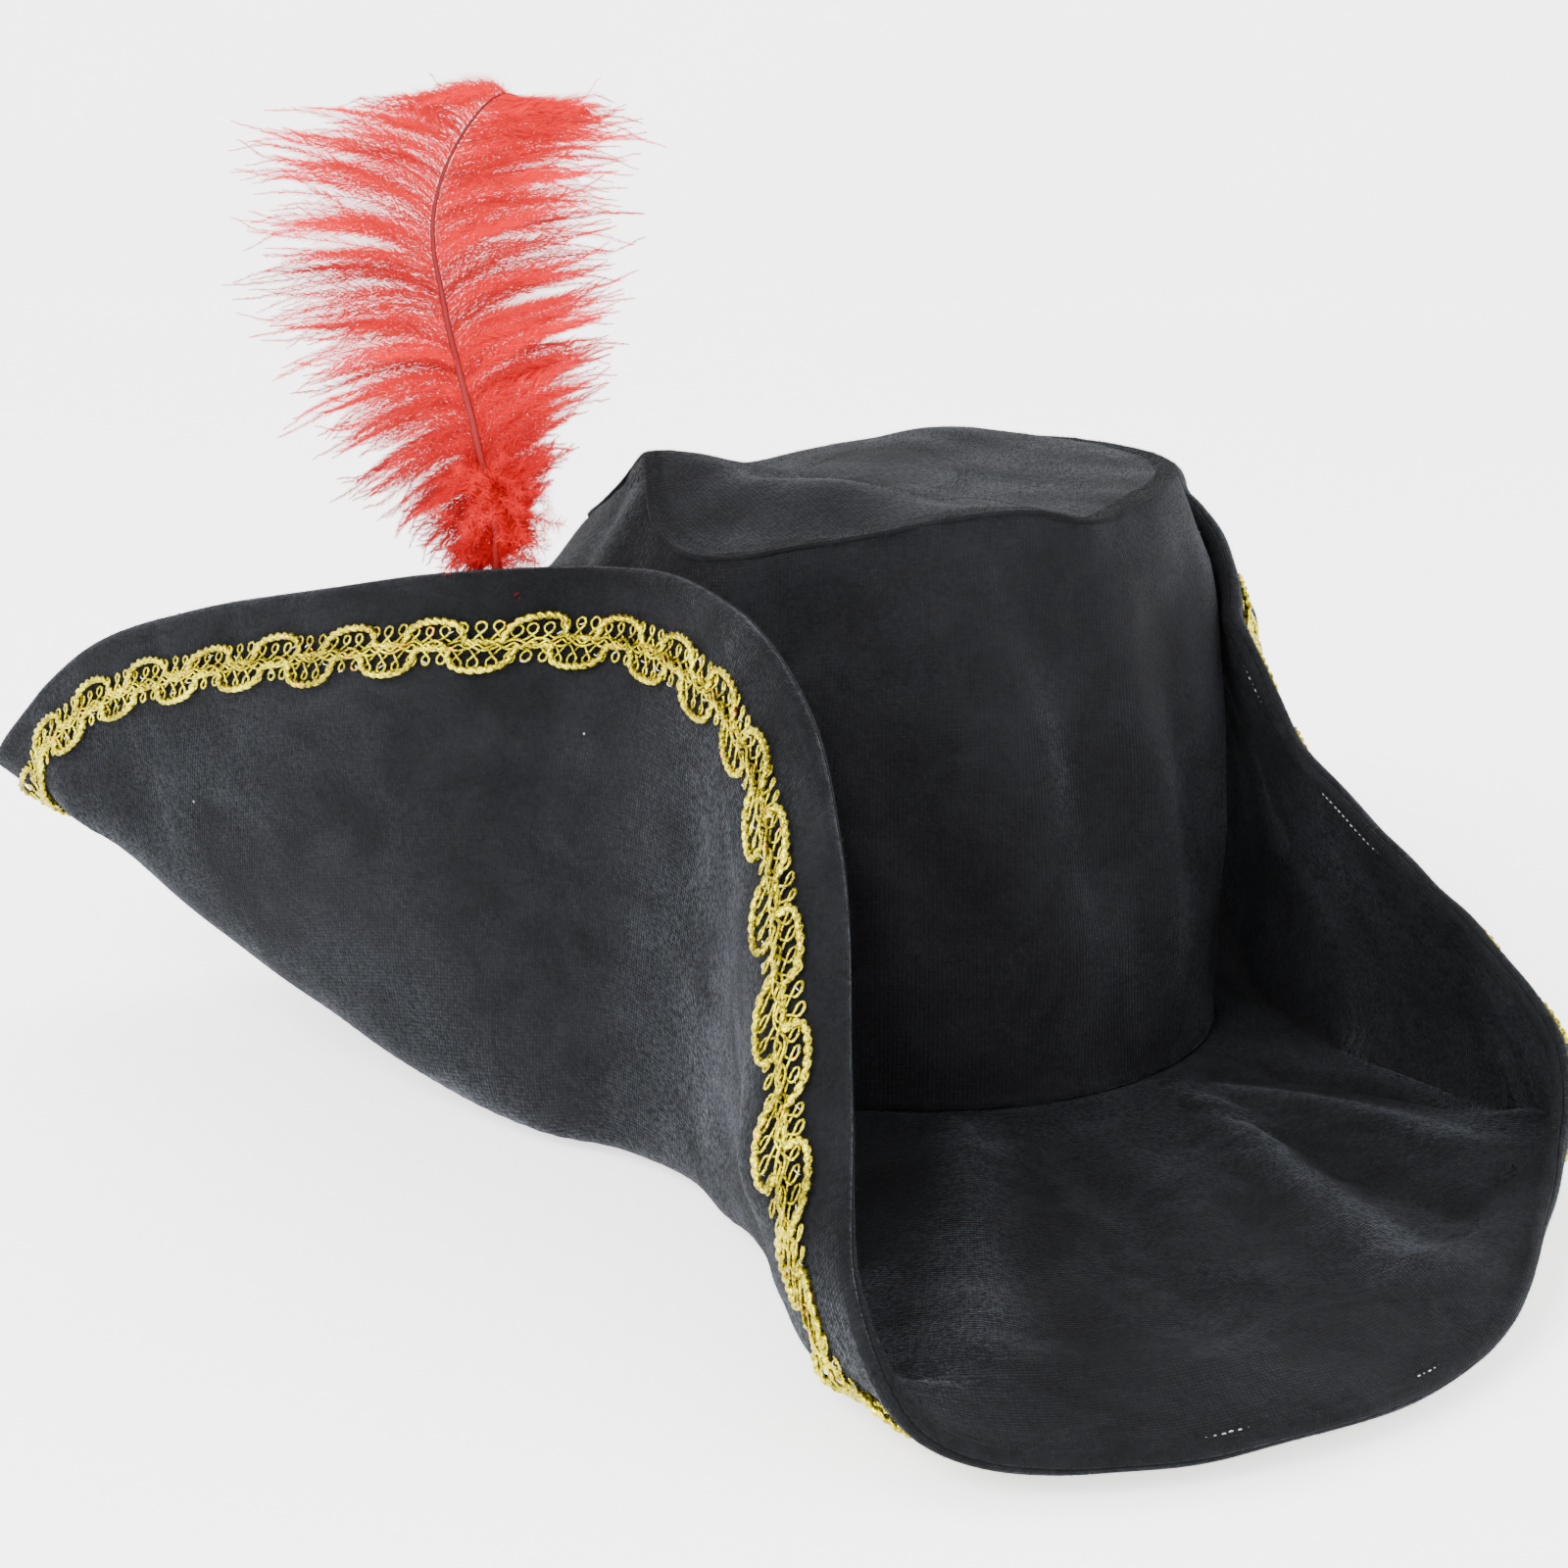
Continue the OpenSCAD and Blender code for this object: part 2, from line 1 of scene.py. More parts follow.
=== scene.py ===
import bpy, math
import numpy as np
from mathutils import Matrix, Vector


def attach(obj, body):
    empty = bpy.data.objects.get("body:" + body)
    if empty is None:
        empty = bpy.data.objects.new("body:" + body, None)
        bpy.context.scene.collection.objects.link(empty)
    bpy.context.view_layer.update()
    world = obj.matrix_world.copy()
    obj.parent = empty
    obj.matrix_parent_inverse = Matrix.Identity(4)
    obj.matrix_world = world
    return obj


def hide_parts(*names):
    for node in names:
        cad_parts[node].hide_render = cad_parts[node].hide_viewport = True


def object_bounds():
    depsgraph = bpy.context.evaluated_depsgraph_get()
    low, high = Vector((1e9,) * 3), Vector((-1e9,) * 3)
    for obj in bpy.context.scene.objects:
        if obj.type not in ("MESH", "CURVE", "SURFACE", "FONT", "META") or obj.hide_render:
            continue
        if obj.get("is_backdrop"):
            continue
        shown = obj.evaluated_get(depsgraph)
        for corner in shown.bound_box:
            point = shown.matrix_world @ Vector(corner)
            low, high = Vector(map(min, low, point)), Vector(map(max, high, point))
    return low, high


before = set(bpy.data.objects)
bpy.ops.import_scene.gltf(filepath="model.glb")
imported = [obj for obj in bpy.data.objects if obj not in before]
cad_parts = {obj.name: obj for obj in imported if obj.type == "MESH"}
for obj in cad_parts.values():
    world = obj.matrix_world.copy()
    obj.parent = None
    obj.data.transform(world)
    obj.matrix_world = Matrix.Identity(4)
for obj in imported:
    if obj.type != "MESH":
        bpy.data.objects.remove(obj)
rest_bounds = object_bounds()
MM = 0.001
D2R = math.pi / 180


# ------------------------------------------------------------------ small helpers
def unit(a):
    return a / np.maximum(np.linalg.norm(a, axis=-1, keepdims=True), 1e-9)


def smooth(x, a, b):
    t = np.clip((np.asarray(x, float) - a) / (b - a), 0, 1)
    return t * t * (3 - 2 * t)


def waves(p, lo, hi, seed, n=14):
    """smooth seeded variation between about -1 and 1 over points in mm"""
    r = np.random.default_rng(seed)
    d = unit(r.normal(size=(n, 3)))
    k = 2 * math.pi / r.uniform(lo, hi, n)
    ph = r.uniform(0, 2 * math.pi, n)
    out = np.zeros(p.shape[:-1])
    for i in range(n):
        out += np.sin((p @ d[i]) * k[i] + ph[i])
    return out / math.sqrt(n) * 0.8


def make(name, co, faces, mat, uv=None, smooth_shade=True, attr=None):
    """mesh object from points in mm; faces is a list of index arrays of 3 or 4 columns"""
    me = bpy.data.meshes.new(name)
    co = np.asarray(co, float) * MM
    me.vertices.add(len(co))
    me.vertices.foreach_set("co", co.astype(np.float32).ravel())
    idx = np.concatenate([f.ravel() for f in faces]).astype(np.int32)
    tot = np.concatenate([np.full(len(f), f.shape[1]) for f in faces]).astype(np.int32)
    me.loops.add(len(idx))
    me.loops.foreach_set("vertex_index", idx)
    me.polygons.add(len(tot))
    me.polygons.foreach_set("loop_start", np.concatenate([[0], np.cumsum(tot)[:-1]]).astype(np.int32))
    if smooth_shade:
        me.polygons.foreach_set("use_smooth", np.ones(len(tot), bool))
    if uv is not None:
        layer = me.uv_layers.new(name="UVMap")
        layer.data.foreach_set("uv", np.asarray(uv, np.float32).ravel())
    me.update(calc_edges=True)
    if attr is not None:
        for k, v in attr.items():
            a = me.attributes.new(k, "FLOAT", "POINT")
            a.data.foreach_set("value", np.asarray(v, np.float32))
    ob = bpy.data.objects.new(name, me)
    bpy.context.scene.collection.objects.link(ob)
    ob.data.materials.append(mat)
    return ob


def grid_faces(nu, nv, wrap_u=True, wrap_v=False, base=0, flip=False):
    i = np.arange(nu if wrap_u else nu - 1)
    j = np.arange(nv if wrap_v else nv - 1)
    I, J = np.meshgrid(i, j, indexing="ij")
    a = I * nv + J
    b = ((I + 1) % nu) * nv + J
    c = ((I + 1) % nu) * nv + (J + 1) % nv
    d = I * nv + (J + 1) % nv
    q = np.stack([a, b, c, d] if not flip else [a, d, c, b], -1).reshape(-1, 4) + base
    return q


def grid_uv(us, vs, flip=False, wrap_v=False):
    """uv in mm for each loop of grid_faces with wrap_u; us has nu+1 columns (nu+1, nv)"""
    a = np.stack([us[:-1], vs[:-1]], -1)
    b = np.stack([us[1:], vs[1:]], -1)
    if wrap_v:
        a = np.concatenate([a, a[:, :1]], 1)
        b = np.concatenate([b, b[:, :1]], 1)
    p0, p1, p2, p3 = a[:, :-1], b[:, :-1], b[:, 1:], a[:, 1:]
    seq = [p0, p1, p2, p3] if not flip else [p0, p3, p2, p1]
    return np.stack(seq, 2).reshape(-1, 2)


def tubes(paths, radii, sides, lobes=None, closed=False):
    """tube meshes along equal-length polylines: paths (k, n, 3), radii (k, n). Returns points and faces."""
    paths = np.asarray(paths, float)
    k, n, _ = paths.shape
    if closed:
        t = np.roll(paths, -1, 1) - np.roll(paths, 1, 1)
    else:
        t = np.gradient(paths, axis=1)
    t = unit(t)
    up = np.zeros_like(t)
    # frames carried along the line
    ref = np.where(np.abs(t[:, :1, 2:3]) > 0.9, np.array([1.0, 0, 0]), np.array([0, 0, 1.0]))
    x = unit(np.cross(ref[:, 0], t[:, 0]))
    for i in range(n):
        x = unit(x - t[:, i] * np.sum(x * t[:, i], -1, keepdims=True))
        up[:, i] = x
    y = np.cross(t, up)
    ang = np.arange(sides) * 2 * math.pi / sides
    r = np.asarray(radii, float)[..., None]
    if lobes is not None:
        amp, turn = lobes  # turn (k, n) in radians
        r = r * (1 - amp + amp * np.abs(np.cos(ang[None, None, :] - turn[..., None])) * 1.6)
    else:
        r = np.repeat(r, sides, -1)
    pts = paths[:, :, None, :] + r[..., None] * (up[:, :, None, :] * np.cos(ang)[None, None, :, None] + y[:, :, None, :] * np.sin(ang)[None, None, :, None])
    pts = pts.reshape(k, n * sides, 3)
    i = np.arange(n if closed else n - 1)
    j = np.arange(sides)
    I, J = np.meshgrid(i, j, indexing="ij")
    q = np.stack([I * sides + J, I * sides + (J + 1) % sides, ((I + 1) % n) * sides + (J + 1) % sides, ((I + 1) % n) * sides + J], -1).reshape(-1, 4)
    faces = [(q[None] + (np.arange(k) * n * sides)[:, None, None]).reshape(-1, 4)]
    if not closed:
        fan = np.stack([np.zeros(sides - 2, int), np.arange(2, sides), np.arange(1, sides - 1)], -1)
        cap2 = np.stack([np.zeros(sides - 2, int), np.arange(1, sides - 1), np.arange(2, sides)], -1) + (n - 1) * sides
        for c in (fan, cap2):
            faces.append((c[None] + (np.arange(k) * n * sides)[:, None, None]).reshape(-1, 3))
    return pts.reshape(-1, 3), faces


def join(parts):
    """several (points, faces) into one"""
    co, fs, o = [], [], 0
    for p, f in parts:
        co.append(p)
        fs += [g + o for g in f]
        o += len(p)
    return np.concatenate(co), fs


# ------------------------------------------------------------------ the brim's table
FRONT = [
    [154, -192, 104, 57, -199, 103, 99, 3, 0], [160, -182, 92, 44, -190, 80, 115, 5, 0],
    [168, -168, 74, 30, -174, 48, 128, 7, 0], [178, -150, 42, 15, -152, 8, 139, 9, 0],
    [190, -131, 6, 1, -126, -28, 148, 9, 0], [202, -116, -29, -4, -96, -46, 150, 9, 0],
    [214, -99, -52, -4, -85, -75, 150, 9, 0], [224, -91, -80, -4, -82, -112, 142, 8, 0],
    [232, -94, -108, -3, -83, -141, 124, 7, 0], [238, -98, -136, -1, -89, -166, 98, 5, 0],
    [243, -103, -164, 3, -99, -187, 64, 3, 0], [247, -107, -188, 5, -109, -208, 36, 2, 0],
    [252, -98, -205, 8, -109, -234, 15, 0, 2], [258, -70, -205, 8, -88, -251, 9.5, 0, 4],
    [264, -38, -208, 9, -50, -259, 8.5, 0, 5], [270, -2, -208, 10, -8, -255, 8.5, 0, 6],
    [276, 32, -202, 11, 30, -239, 11.5, 0, 5], [282, 62, -188, 12, 58, -215, 22, 0, 3],
    [288, 90, -175, 12, 80, -192, 35, 1, 2], [293, 108, -158, 9, 88, -177, 45, 3, 0],
    [300, 114, -135, 2, 87, -149, 63, 5, 0], [308, 114, -110, -2, 84, -117, 78, 7, 0],
    [316, 112, -85, -4, 83, -87, 94, 9, 0], [326, 108, -58, -4, 83, -61, 124, 9, 0],
    [338, 110, -28, -1, 88, -32, 145, 9, 0], [348, 124, 4, 6, 100, 0, 153, 8, 0],
    [356, 134, 28, 17, 112, 26, 151, 8, 0], [364, 147, 52, 26, 130, 50, 138, 7, 0],
    [372, 162, 74, 36, 150, 72, 119, 5, 0], [380, 178, 94, 47, 172, 95, 101, 3, 0],
    [386, 190, 110, 56, 190, 114, 88, 2, 0]]
REAR = [
    [142, -166, 134, 48, -178, 133, 90, 3, 0], [134, -140, 140, 36, -140, 128, 102, 5, 0],
    [124, -110, 140, 18, -104, 116, 108, 7, 0], [112, -72, 136, 4, -68, 113, 112, 8, 0],
    [100, -34, 132, -3, -28, 110, 121, 8, 0], [90, 0, 131, -6, 0, 109, 125, 8, 0]]
CORNER = [148, -180, 115, 58, -206, 133, 75, 0, -2]
TIP = [
    [0, 76, 161], [33, 82, 158], [65, 86, 152], [95, 87, 148], [125, 84, 145], [150, 76, 148],
    [165, 68, 159], [176, 65, 168], [187, 70, 165], [198, 78, 156], [208, 84, 152], [218, 88, 152],
    [231, 87, 156], [242, 86, 159], [253, 85, 162], [269, 84, 163], [282, 84, 159], [292, 80, 160], [325, 77, 162]]
OX, OY, SZ = 86.0, 100.0, 17.0
VOUT, VIN, CORE = 2.45, 1.25, 1.0


def mirrored(r):
    return [180 - r[0], -r[1], r[2], r[3], -r[4], r[5], r[6], r[7], r[8]]


rows = {}
for r in FRONT + REAR + [mirrored(r) for r in REAR[:5]] + [CORNER, mirrored(CORNER)]:
    rows[r[0] % 360] = r[1:]
US = np.array(sorted(rows), float)
TB = np.array([rows[k] for k in sorted(rows)], float)
TU = np.array([r[0] for r in TIP], float)
TR = np.array([r[1] for r in TIP], float)
TZ = np.array([r[2] for r in TIP], float)


def pspline(x, xs, ys, period=360.0):
    X = np.concatenate([xs - period, xs, xs + period])
    Y = np.concatenate([ys, ys, ys])
    m = np.zeros(len(X))
    h = np.diff(X)
    d = np.diff(Y) / h
    m[1:-1] = (d[:-1] * h[1:] + d[1:] * h[:-1]) / (h[:-1] + h[1:])
    xm = np.mod(np.asarray(x, float) - xs[0], period) + xs[0]
    k = np.clip(np.searchsorted(X, xm, side="right") - 1, 1, len(X) - 3)
    hh = X[k + 1] - X[k]
    t = (xm - X[k]) / hh
    return (1 + 2 * t) * (1 - t) ** 2 * Y[k] + t * (1 - t) ** 2 * hh * m[k] + t * t * (3 - 2 * t) * Y[k + 1] + t * t * (t - 1) * hh * m[k + 1]


def oval_r(u, ax=OX, ay=OY):
    t = np.radians(u)
    return 1 / np.sqrt((np.cos(t) / ax) ** 2 + (np.sin(t) / ay) ** 2)


def controls(u):
    c = [pspline(u, US, TB[:, i]) for i in range(8)]
    F = np.stack(c[0:3], -1)
    E = np.stack(c[3:6], -1)
    t = np.radians(u)
    r = oval_r(u)
    B = np.stack([r * np.cos(t), r * np.sin(t), np.full(u.shape, SZ)], -1)
    M = (F + E) / 2
    rr = np.linalg.norm(M[..., :2], axis=-1)
    M = M + np.stack([M[..., 0] / rr * c[6], M[..., 1] / rr * c[6], c[7]], -1)
    return B, F + (B - F) * 0.22, F + (M - F) * 0.3, M, E


def section(u, t):
    B, F1, F2, M, E = controls(u)
    k1 = (F1 + F2) / 2
    k2 = (F2 + M) / 2
    t = np.asarray(t, float)[..., None]

    def q(a, b, c, s):
        return (1 - s) ** 2 * a + 2 * s * (1 - s) * b + s * s * c
    return np.where(t < 1, q(B, F1, k1, t), np.where(t < 2, q(k1, F2, k2, t - 1), q(k2, M, E, t - 2)))


# even spacing along the rim, with a share for the seam
ud = np.linspace(0, 360, 7201)
Ed = section(ud, np.full(ud.shape, 2.75))
dl = np.linalg.norm(np.diff(Ed, axis=0), axis=1)
meas = np.concatenate([[0], np.cumsum(dl * 0.86 + 0.05 * 585 / 360 * 3.0)])
NU = 1440
U = np.interp(np.arange(NU) / NU * meas[-1], meas, ud)
NT = 121
Tt = 3 * (np.arange(NT) / (NT - 1)) ** 0.97
UG, TG = np.meshgrid(U, Tt, indexing="ij")
P0 = section(UG, TG)


def normals(P):
    a = np.roll(P, -1, 0) - np.roll(P, 1, 0)
    b = np.gradient(P, axis=1)
    return -unit(np.cross(b, a))


N0 = normals(P0)
seg = np.linalg.norm(np.diff(P0, axis=1), axis=2)
FROMRIM = np.concatenate([np.cumsum(seg[:, ::-1], 1)[:, ::-1], np.zeros((NU, 1))], 1)
LEN = FROMRIM[:, :1]
S0 = 1 - FROMRIM / LEN  # 0 at the seam, 1 at the rim


def on_brim(u, s):
    """point of the plain brim at angle u and share s of its width"""
    i = int(np.argmin(np.abs((U - u + 180) % 360 - 180)))
    return np.array([np.interp(s, S0[i], P0[i, :, c]) for c in range(3)])


def polyline(pts, n=50):
    pts = np.array(pts, float)
    t = np.linspace(0, len(pts) - 1, n)
    k = np.arange(len(pts))
    return np.stack([np.interp(t, k, pts[:, c]) for c in range(pts.shape[1])], -1)


def ridge(P, line, height, width, taper=(0.2, 0.2)):
    """soft ridge along a 3D line: height and width may be functions of the share along it"""
    n = len(line)
    best = np.full(P.shape[:-1], 1e9)
    arg = np.zeros(P.shape[:-1])
    for i, q in enumerate(line):
        d = np.sum((P - q) ** 2, -1)
        m = d < best
        best[m] = d[m]
        arg[m] = i / (n - 1)
    w = width[0] + (width[1] - width[0]) * arg
    h = height * smooth(arg, -0.001, taper[0]) * (1 - smooth(arg, 1 - taper[1], 1.001))
    return h * np.exp(-best / (w * w))


def brim_line(pts):
    pts = polyline(pts, 40)
    return np.array([on_brim(a, b) for a, b in pts])


def window(u, a, b, c, d):
    """1 between angles b and c, easing to 0 at a and d"""
    v = np.mod(np.asarray(u, float) - a, 360)
    return smooth(v, 0, b - a) * (1 - smooth(v, c - a, d - a))


def crown_side_rk(u, k):
    r0 = oval_r(u, OX + 0.5, OY + 0.5)
    r1 = pspline(u, TU, TR)
    kk = np.clip(k, 0, 1)
    r = r0 + (r1 - r0) * kk ** 1.6 + np.sin(np.pi * kk ** 0.8) * (2 + 1.5 * np.cos(np.radians(3 * u + 40)))
    sh = smooth(kk, 0.42, 0.80) * np.clip((1 - kk) / 0.17, 0, 1) ** 0.9 + 0.25 * np.sin(np.pi * kk)
    r = r + 11.5 * window(u, 118, 150, 188, 212) * sh
    return r + 5.0 * window(u, 312, 332, 358, 384) * sh


# the front edge of the left flap turns towards the front, and the right flap leans on the crown
amp = np.interp(U, [0, 212, 221, 228, 232, 236, 240, 243, 246, 249, 254, 360], [0, 0, 3, 8, 11, 15, 19, 16, 7, 2, 0, 0])
prof = np.interp(FROMRIM, [0, 4, 8, 12, 18, 30, 45, 70, 100, 125], [0, .34, .60, .80, .95, 1.0, .90, .5, .12, 0])
from_box = np.array([1, 2, 3, 2, 1.]) / 9
prof = np.apply_along_axis(lambda v: np.convolve(np.pad(v, 2, "edge"), from_box, "valid"), 1, prof)
amp = np.convolve(np.pad(amp, 12, "wrap"), np.hanning(27)[1:-1] / np.hanning(27).sum(), "valid")
prof = prof * (0.12 + 0.88 * smooth(P0[..., 2], 8, 52))
P0 = P0 + np.array([-0.97, -0.12, 0.0]) * (amp[:, None] * prof)[..., None]
kz = np.clip((P0[..., 2] - SZ) / (pspline(UG, TU, TZ) - SZ), 0, 1)
uu_ = np.degrees(np.arctan2(P0[..., 1], P0[..., 0]))
gap = np.linalg.norm(P0[..., :2], axis=-1) - crown_side_rk(uu_, kz) - 4.6
lean = np.clip(gap, 0, 9.5) * window(UG, 306, 326, 356, 376) * (1 - smooth(FROMRIM, 20, 95))
P0[..., 0] -= lean * np.cos(np.radians(uu_ * 0.5))
P0[..., 1] -= lean * np.sin(np.radians(uu_ * 0.5))
N0 = normals(P0)

# shape of the worn velvet: ridges fanning out over the front lobe, soft waves elsewhere
H = np.zeros((NU, NT))
for pts, h, w in [
        ([(257, 0), (256, .34), (256, .62), (255, .93)], 3.6, (8, 17)),
        ([(286, .04), (277, .43), (275, .64), (273, .93)], 3.8, (4, 15)),
        ([(287, .05), (288, .4), (286, .72), (285, .9)], 2.6, (4, 13)),
        ([(322, .31), (311, .4), (298, .6), (286, .8)], 2.4, (7, 12)),
        ([(266, .1), (266, .5), (265, .92)], -2.4, (6, 12)),
        ([(281, .1), (281, .5), (279, .92)], -2.2, (3, 8)),
        ([(296, .1), (299, .4), (296, .7)], -1.8, (6, 11)),
        ([(252, .72), (262, .84), (272, .86), (281, .86)], 1.6, (9, 10)),
        ([(236, .2), (238, .5), (241, .8)], 2.0, (9, 11)),
        ([(166, .25), (160, .5), (155, .8)], 1.8, (10, 9)),
        ([(60, .3), (70, .6), (72, .85)], 1.8, (12, 10)),
        ([(118, .3), (112, .6), (108, .85)], 1.6, (12, 10)),
        ([(350, .3), (356, .6), (2, .85)], 1.6, (10, 12))]:
    H -= ridge(P0, brim_line(pts), h, w)
loose = smooth(S0, 0.04, 0.35)
H += loose * (0.9 * waves(P0, 55, 120, 3) + 0.35 * waves(P0, 22, 45, 5))
H += smooth(S0, 0.8, 1.0) * 0.55 * waves(P0, 16, 34, 8)
# drawn in a little where the flaps are tacked
for u, s in ((209, .9), (344, .88), (90, .88)):
    q = on_brim(u, s)
    H -= 1.2 * np.exp(-np.sum((P0 - q) ** 2, -1) / 18 ** 2)
H *= smooth(FROMRIM, -6, 6) * 0.5 + 0.5
# painted sheen on the upper velvet: a low random nap level that keeps the lobe shaded, raised along bands over the
# lobe's ridges and rim and on the flaps where light catches
NAP_AND_PAINTED_SHEEN_UP = 0.16 + 0.12 * waves(P0, 30, 80, 61)
for pts, h, w in [
        ([(257, 0), (256, .34), (256, .62), (255, .93)], .55, (7, 12)), ([(286, .06), (277, .43), (275, .64), (273, .9)], .62, (3, 10)),
        ([(287, .10), (289, .45), (287, .75)], .45, (3, 12)), ([(322, .31), (311, .4), (285, .72)], .45, (6, 10)),
        ([(249, .5), (250, .72), (253, .9)], .55, (5, 7)), ([(330, .5), (338, .7), (350, .8)], .25, (14, 14)),
        ([(60, .3), (70, .6), (110, .7)], .3, (14, 14)), ([(180, .3), (200, .6), (205, .8)], .3, (14, 14))]:
    NAP_AND_PAINTED_SHEEN_UP = NAP_AND_PAINTED_SHEEN_UP + ridge(P0, brim_line(pts), h, w, (0.08, 0.25))
NAP_UN = 0.50 + 0.20 * waves(P0, 35, 110, 62) + 0.10 * waves(P0, 12, 30, 63)
P = P0 + N0 * H[..., None]
N = normals(P)
seg = np.linalg.norm(np.diff(P, axis=1), axis=2)
FROMRIM = np.concatenate([np.cumsum(seg[:, ::-1], 1)[:, ::-1], np.zeros((NU, 1))], 1)
LEN = FROMRIM[:, 0]
OUT = unit(P[:, -1] - P[:, -4])  # outwards at the rim
seamdist = np.linalg.norm(P[:, :, :2], axis=2) - oval_r(UG)


def rows_at(cols, dist):
    """points and normals on the mid surface, dist (len(cols), m) mm in from the rim"""
    m = dist.shape[1]
    p = np.zeros((len(cols), m, 3))
    n = np.zeros((len(cols), m, 3))
    for a, i in enumerate(cols):
        x = FROMRIM[i, ::-1]
        for c in range(3):
            p[a, :, c] = np.interp(dist[a], x, P[i, ::-1, c])
            n[a, :, c] = np.interp(dist[a], x, N[i, ::-1, c])
    return p, unit(n)


# distance from the rim at which the cloth meets the seam (0.7 mm outside the opening's line)
SEAMD = np.array([np.interp(0.7, seamdist[i, :20], FROMRIM[i, :20]) for i in range(NU)])
cols = np.arange(0, NU, 2)
near = np.array([0.0, .35, .7, 1.05, 1.4, 1.75, 2.1, 2.45, 2.8, 3.2, 3.8, 4.6, 5.6, 7.0])
NBULK = 84
bulk = np.linspace(0, 1, NBULK + 1)[1:]
rim_arc = np.arange(0, 91, 15)
RC = 2.2  # the roll of the hem


GRIDS = {}


def brim_cloth(side, name, mat):
    """one velvet layer: side -1 upper, +1 under; rolled over the hem to meet the other layer"""
    d_near = np.repeat((near + RC)[None], len(cols), 0)
    d_bulk = d_near[:, -1:] + (SEAMD[cols][:, None] - d_near[:, -1:]) * bulk[None]
    d_out = np.concatenate([d_near, d_bulk], 1)
    p, n = rows_at(cols, d_out)
    x = d_out - RC
    stitch = np.exp(-((x - 0.9) / 0.8) ** 2) * (0.16 if side < 0 else 0.0)
    puff = 0.08 * np.exp(-((x + 0.6) / 2.5) ** 2)
    pull = 1 + 0.35 * waves(p, 5, 9, 40 + side)
    seam_in = 0.5 * np.exp(-((SEAMD[cols][:, None] - d_out) / 2.2) ** 2)
    off = VOUT - stitch * pull + puff - seam_in
    outer = p + n * (side * off)[..., None]
    # the roll: from the face round to the middle line
    c, nc = p[:, 0], n[:, 0]
    o = OUT[cols]
    o = unit(o - nc * np.sum(o * nc, -1, keepdims=True))
    a = np.radians(np.arange(75, -1, -15.0))
    r0 = VOUT + 0.12
    roll = c[:, None] + (nc[:, None] * side) * (np.sin(a) * (r0 - 0.1) + 0.1)[None, :, None] + o[:, None] * (np.cos(a) * (r0 - 0.06 * (a == 0)))[None, :, None]
    tuck = c + nc * side * 0.12 + o * 1.4
    # inner face
    ib = np.linspace(0, 1, 26)
    d_in = (RC + 1.2) + (SEAMD[cols][:, None] - (RC + 1.2)) * ib[None]
    pi, ni = rows_at(cols, d_in)
    inner = pi + ni * (side * (VIN + 0.05))
    loop = np.concatenate([outer[:, ::-1], roll, tuck[:, None], inner], 1)
    m = loop.shape[1]
    f = grid_faces(len(cols), m, True, True, flip=(side < 0))
    arc = np.concatenate([[0], np.cumsum(np.linalg.norm(np.diff(np.vstack([P[cols, -12], P[cols[:1], -12]]), axis=0), axis=1))])
    uu = np.repeat(arc[:, None], m, 1)
    dv = np.concatenate([[0], np.cumsum(np.linalg.norm(np.diff(loop[len(cols) // 3], axis=0), axis=1))])
    vv = np.repeat(dv[None], len(cols) + 1, 0)
    uv = grid_uv(uu, vv, flip=(side < 0), wrap_v=True)
    src = NAP_AND_PAINTED_SHEEN_UP if side < 0 else NAP_UN
    no_ = np.stack([np.interp(d_out[q], FROMRIM[i, ::-1], src[i, ::-1]) for q, i in enumerate(cols)])
    nap_and_painted_sheen = np.concatenate([no_[:, ::-1], np.repeat(no_[:, :1], m - no_.shape[1], 1)], 1)
    GRIDS[name] = (loop[:, :outer.shape[1] + len(a)], side * n[:, ::-1], outer.shape[1])
    return make(name, loop.reshape(-1, 3), [f], mat, uv, attr={"nap_and_painted_sheen": np.clip(nap_and_painted_sheen, 0, 1).ravel()})


# ------------------------------------------------------------------ materials
def new_mat(name):
    m = bpy.data.materials.new(name)
    m.use_nodes = True
    nt = m.node_tree
    b = nt.nodes["Principled BSDF"]
    return m, nt, b


def node(nt, kind, **kw):
    n = nt.nodes.new(kind)
    for k, v in kw.items():
        if k.startswith("in_"):
            key = k[3:]
            key = int(key) if key.isdigit() else key.replace("_", " ")
            n.inputs[key].default_value = v
        else:
            setattr(n, k, v)
    return n


def mathn(nt, op, a, b=None, clamp=False):
    n = node(nt, "ShaderNodeMath", operation=op, use_clamp=clamp)
    for i, v in enumerate((a, b)):
        if v is None:
            continue
        if isinstance(v, (int, float)):
            n.inputs[i].default_value = v
        else:
            nt.links.new(v, n.inputs[i])
    return n.outputs[0]


def noise(nt, vec, scale, detail=4, rough=0.55, dist=0.0):
    n = node(nt, "ShaderNodeTexNoise", noise_dimensions="3D")
    n.inputs["Scale"].default_value = scale
    n.inputs["Detail"].default_value = detail
    n.inputs["Roughness"].default_value = rough
    n.inputs["Distortion"].default_value = dist
    nt.links.new(vec, n.inputs["Vector"])
    return n.outputs["Fac"]


def ramp(nt, fac, stops):
    n = node(nt, "ShaderNodeValToRGB")
    e = n.color_ramp.elements
    while len(e) > 1:
        e.remove(e[-1])
    e[0].position, e[0].color = stops[0][0], (*stops[0][1], 1)
    for p, c in stops[1:]:
        q = e.new(p)
        q.color = (*c, 1)
    nt.links.new(fac, n.inputs["Fac"])
    return n.outputs["Color"]


def maprange(nt, v, a, b, c, d):
    n = node(nt, "ShaderNodeMapRange", clamp=True)
    for k, x in zip(("From Min", "From Max", "To Min", "To Max"), (a, b, c, d)):
        n.inputs[k].default_value = x
    nt.links.new(v, n.inputs["Value"])
    return n.outputs["Result"]


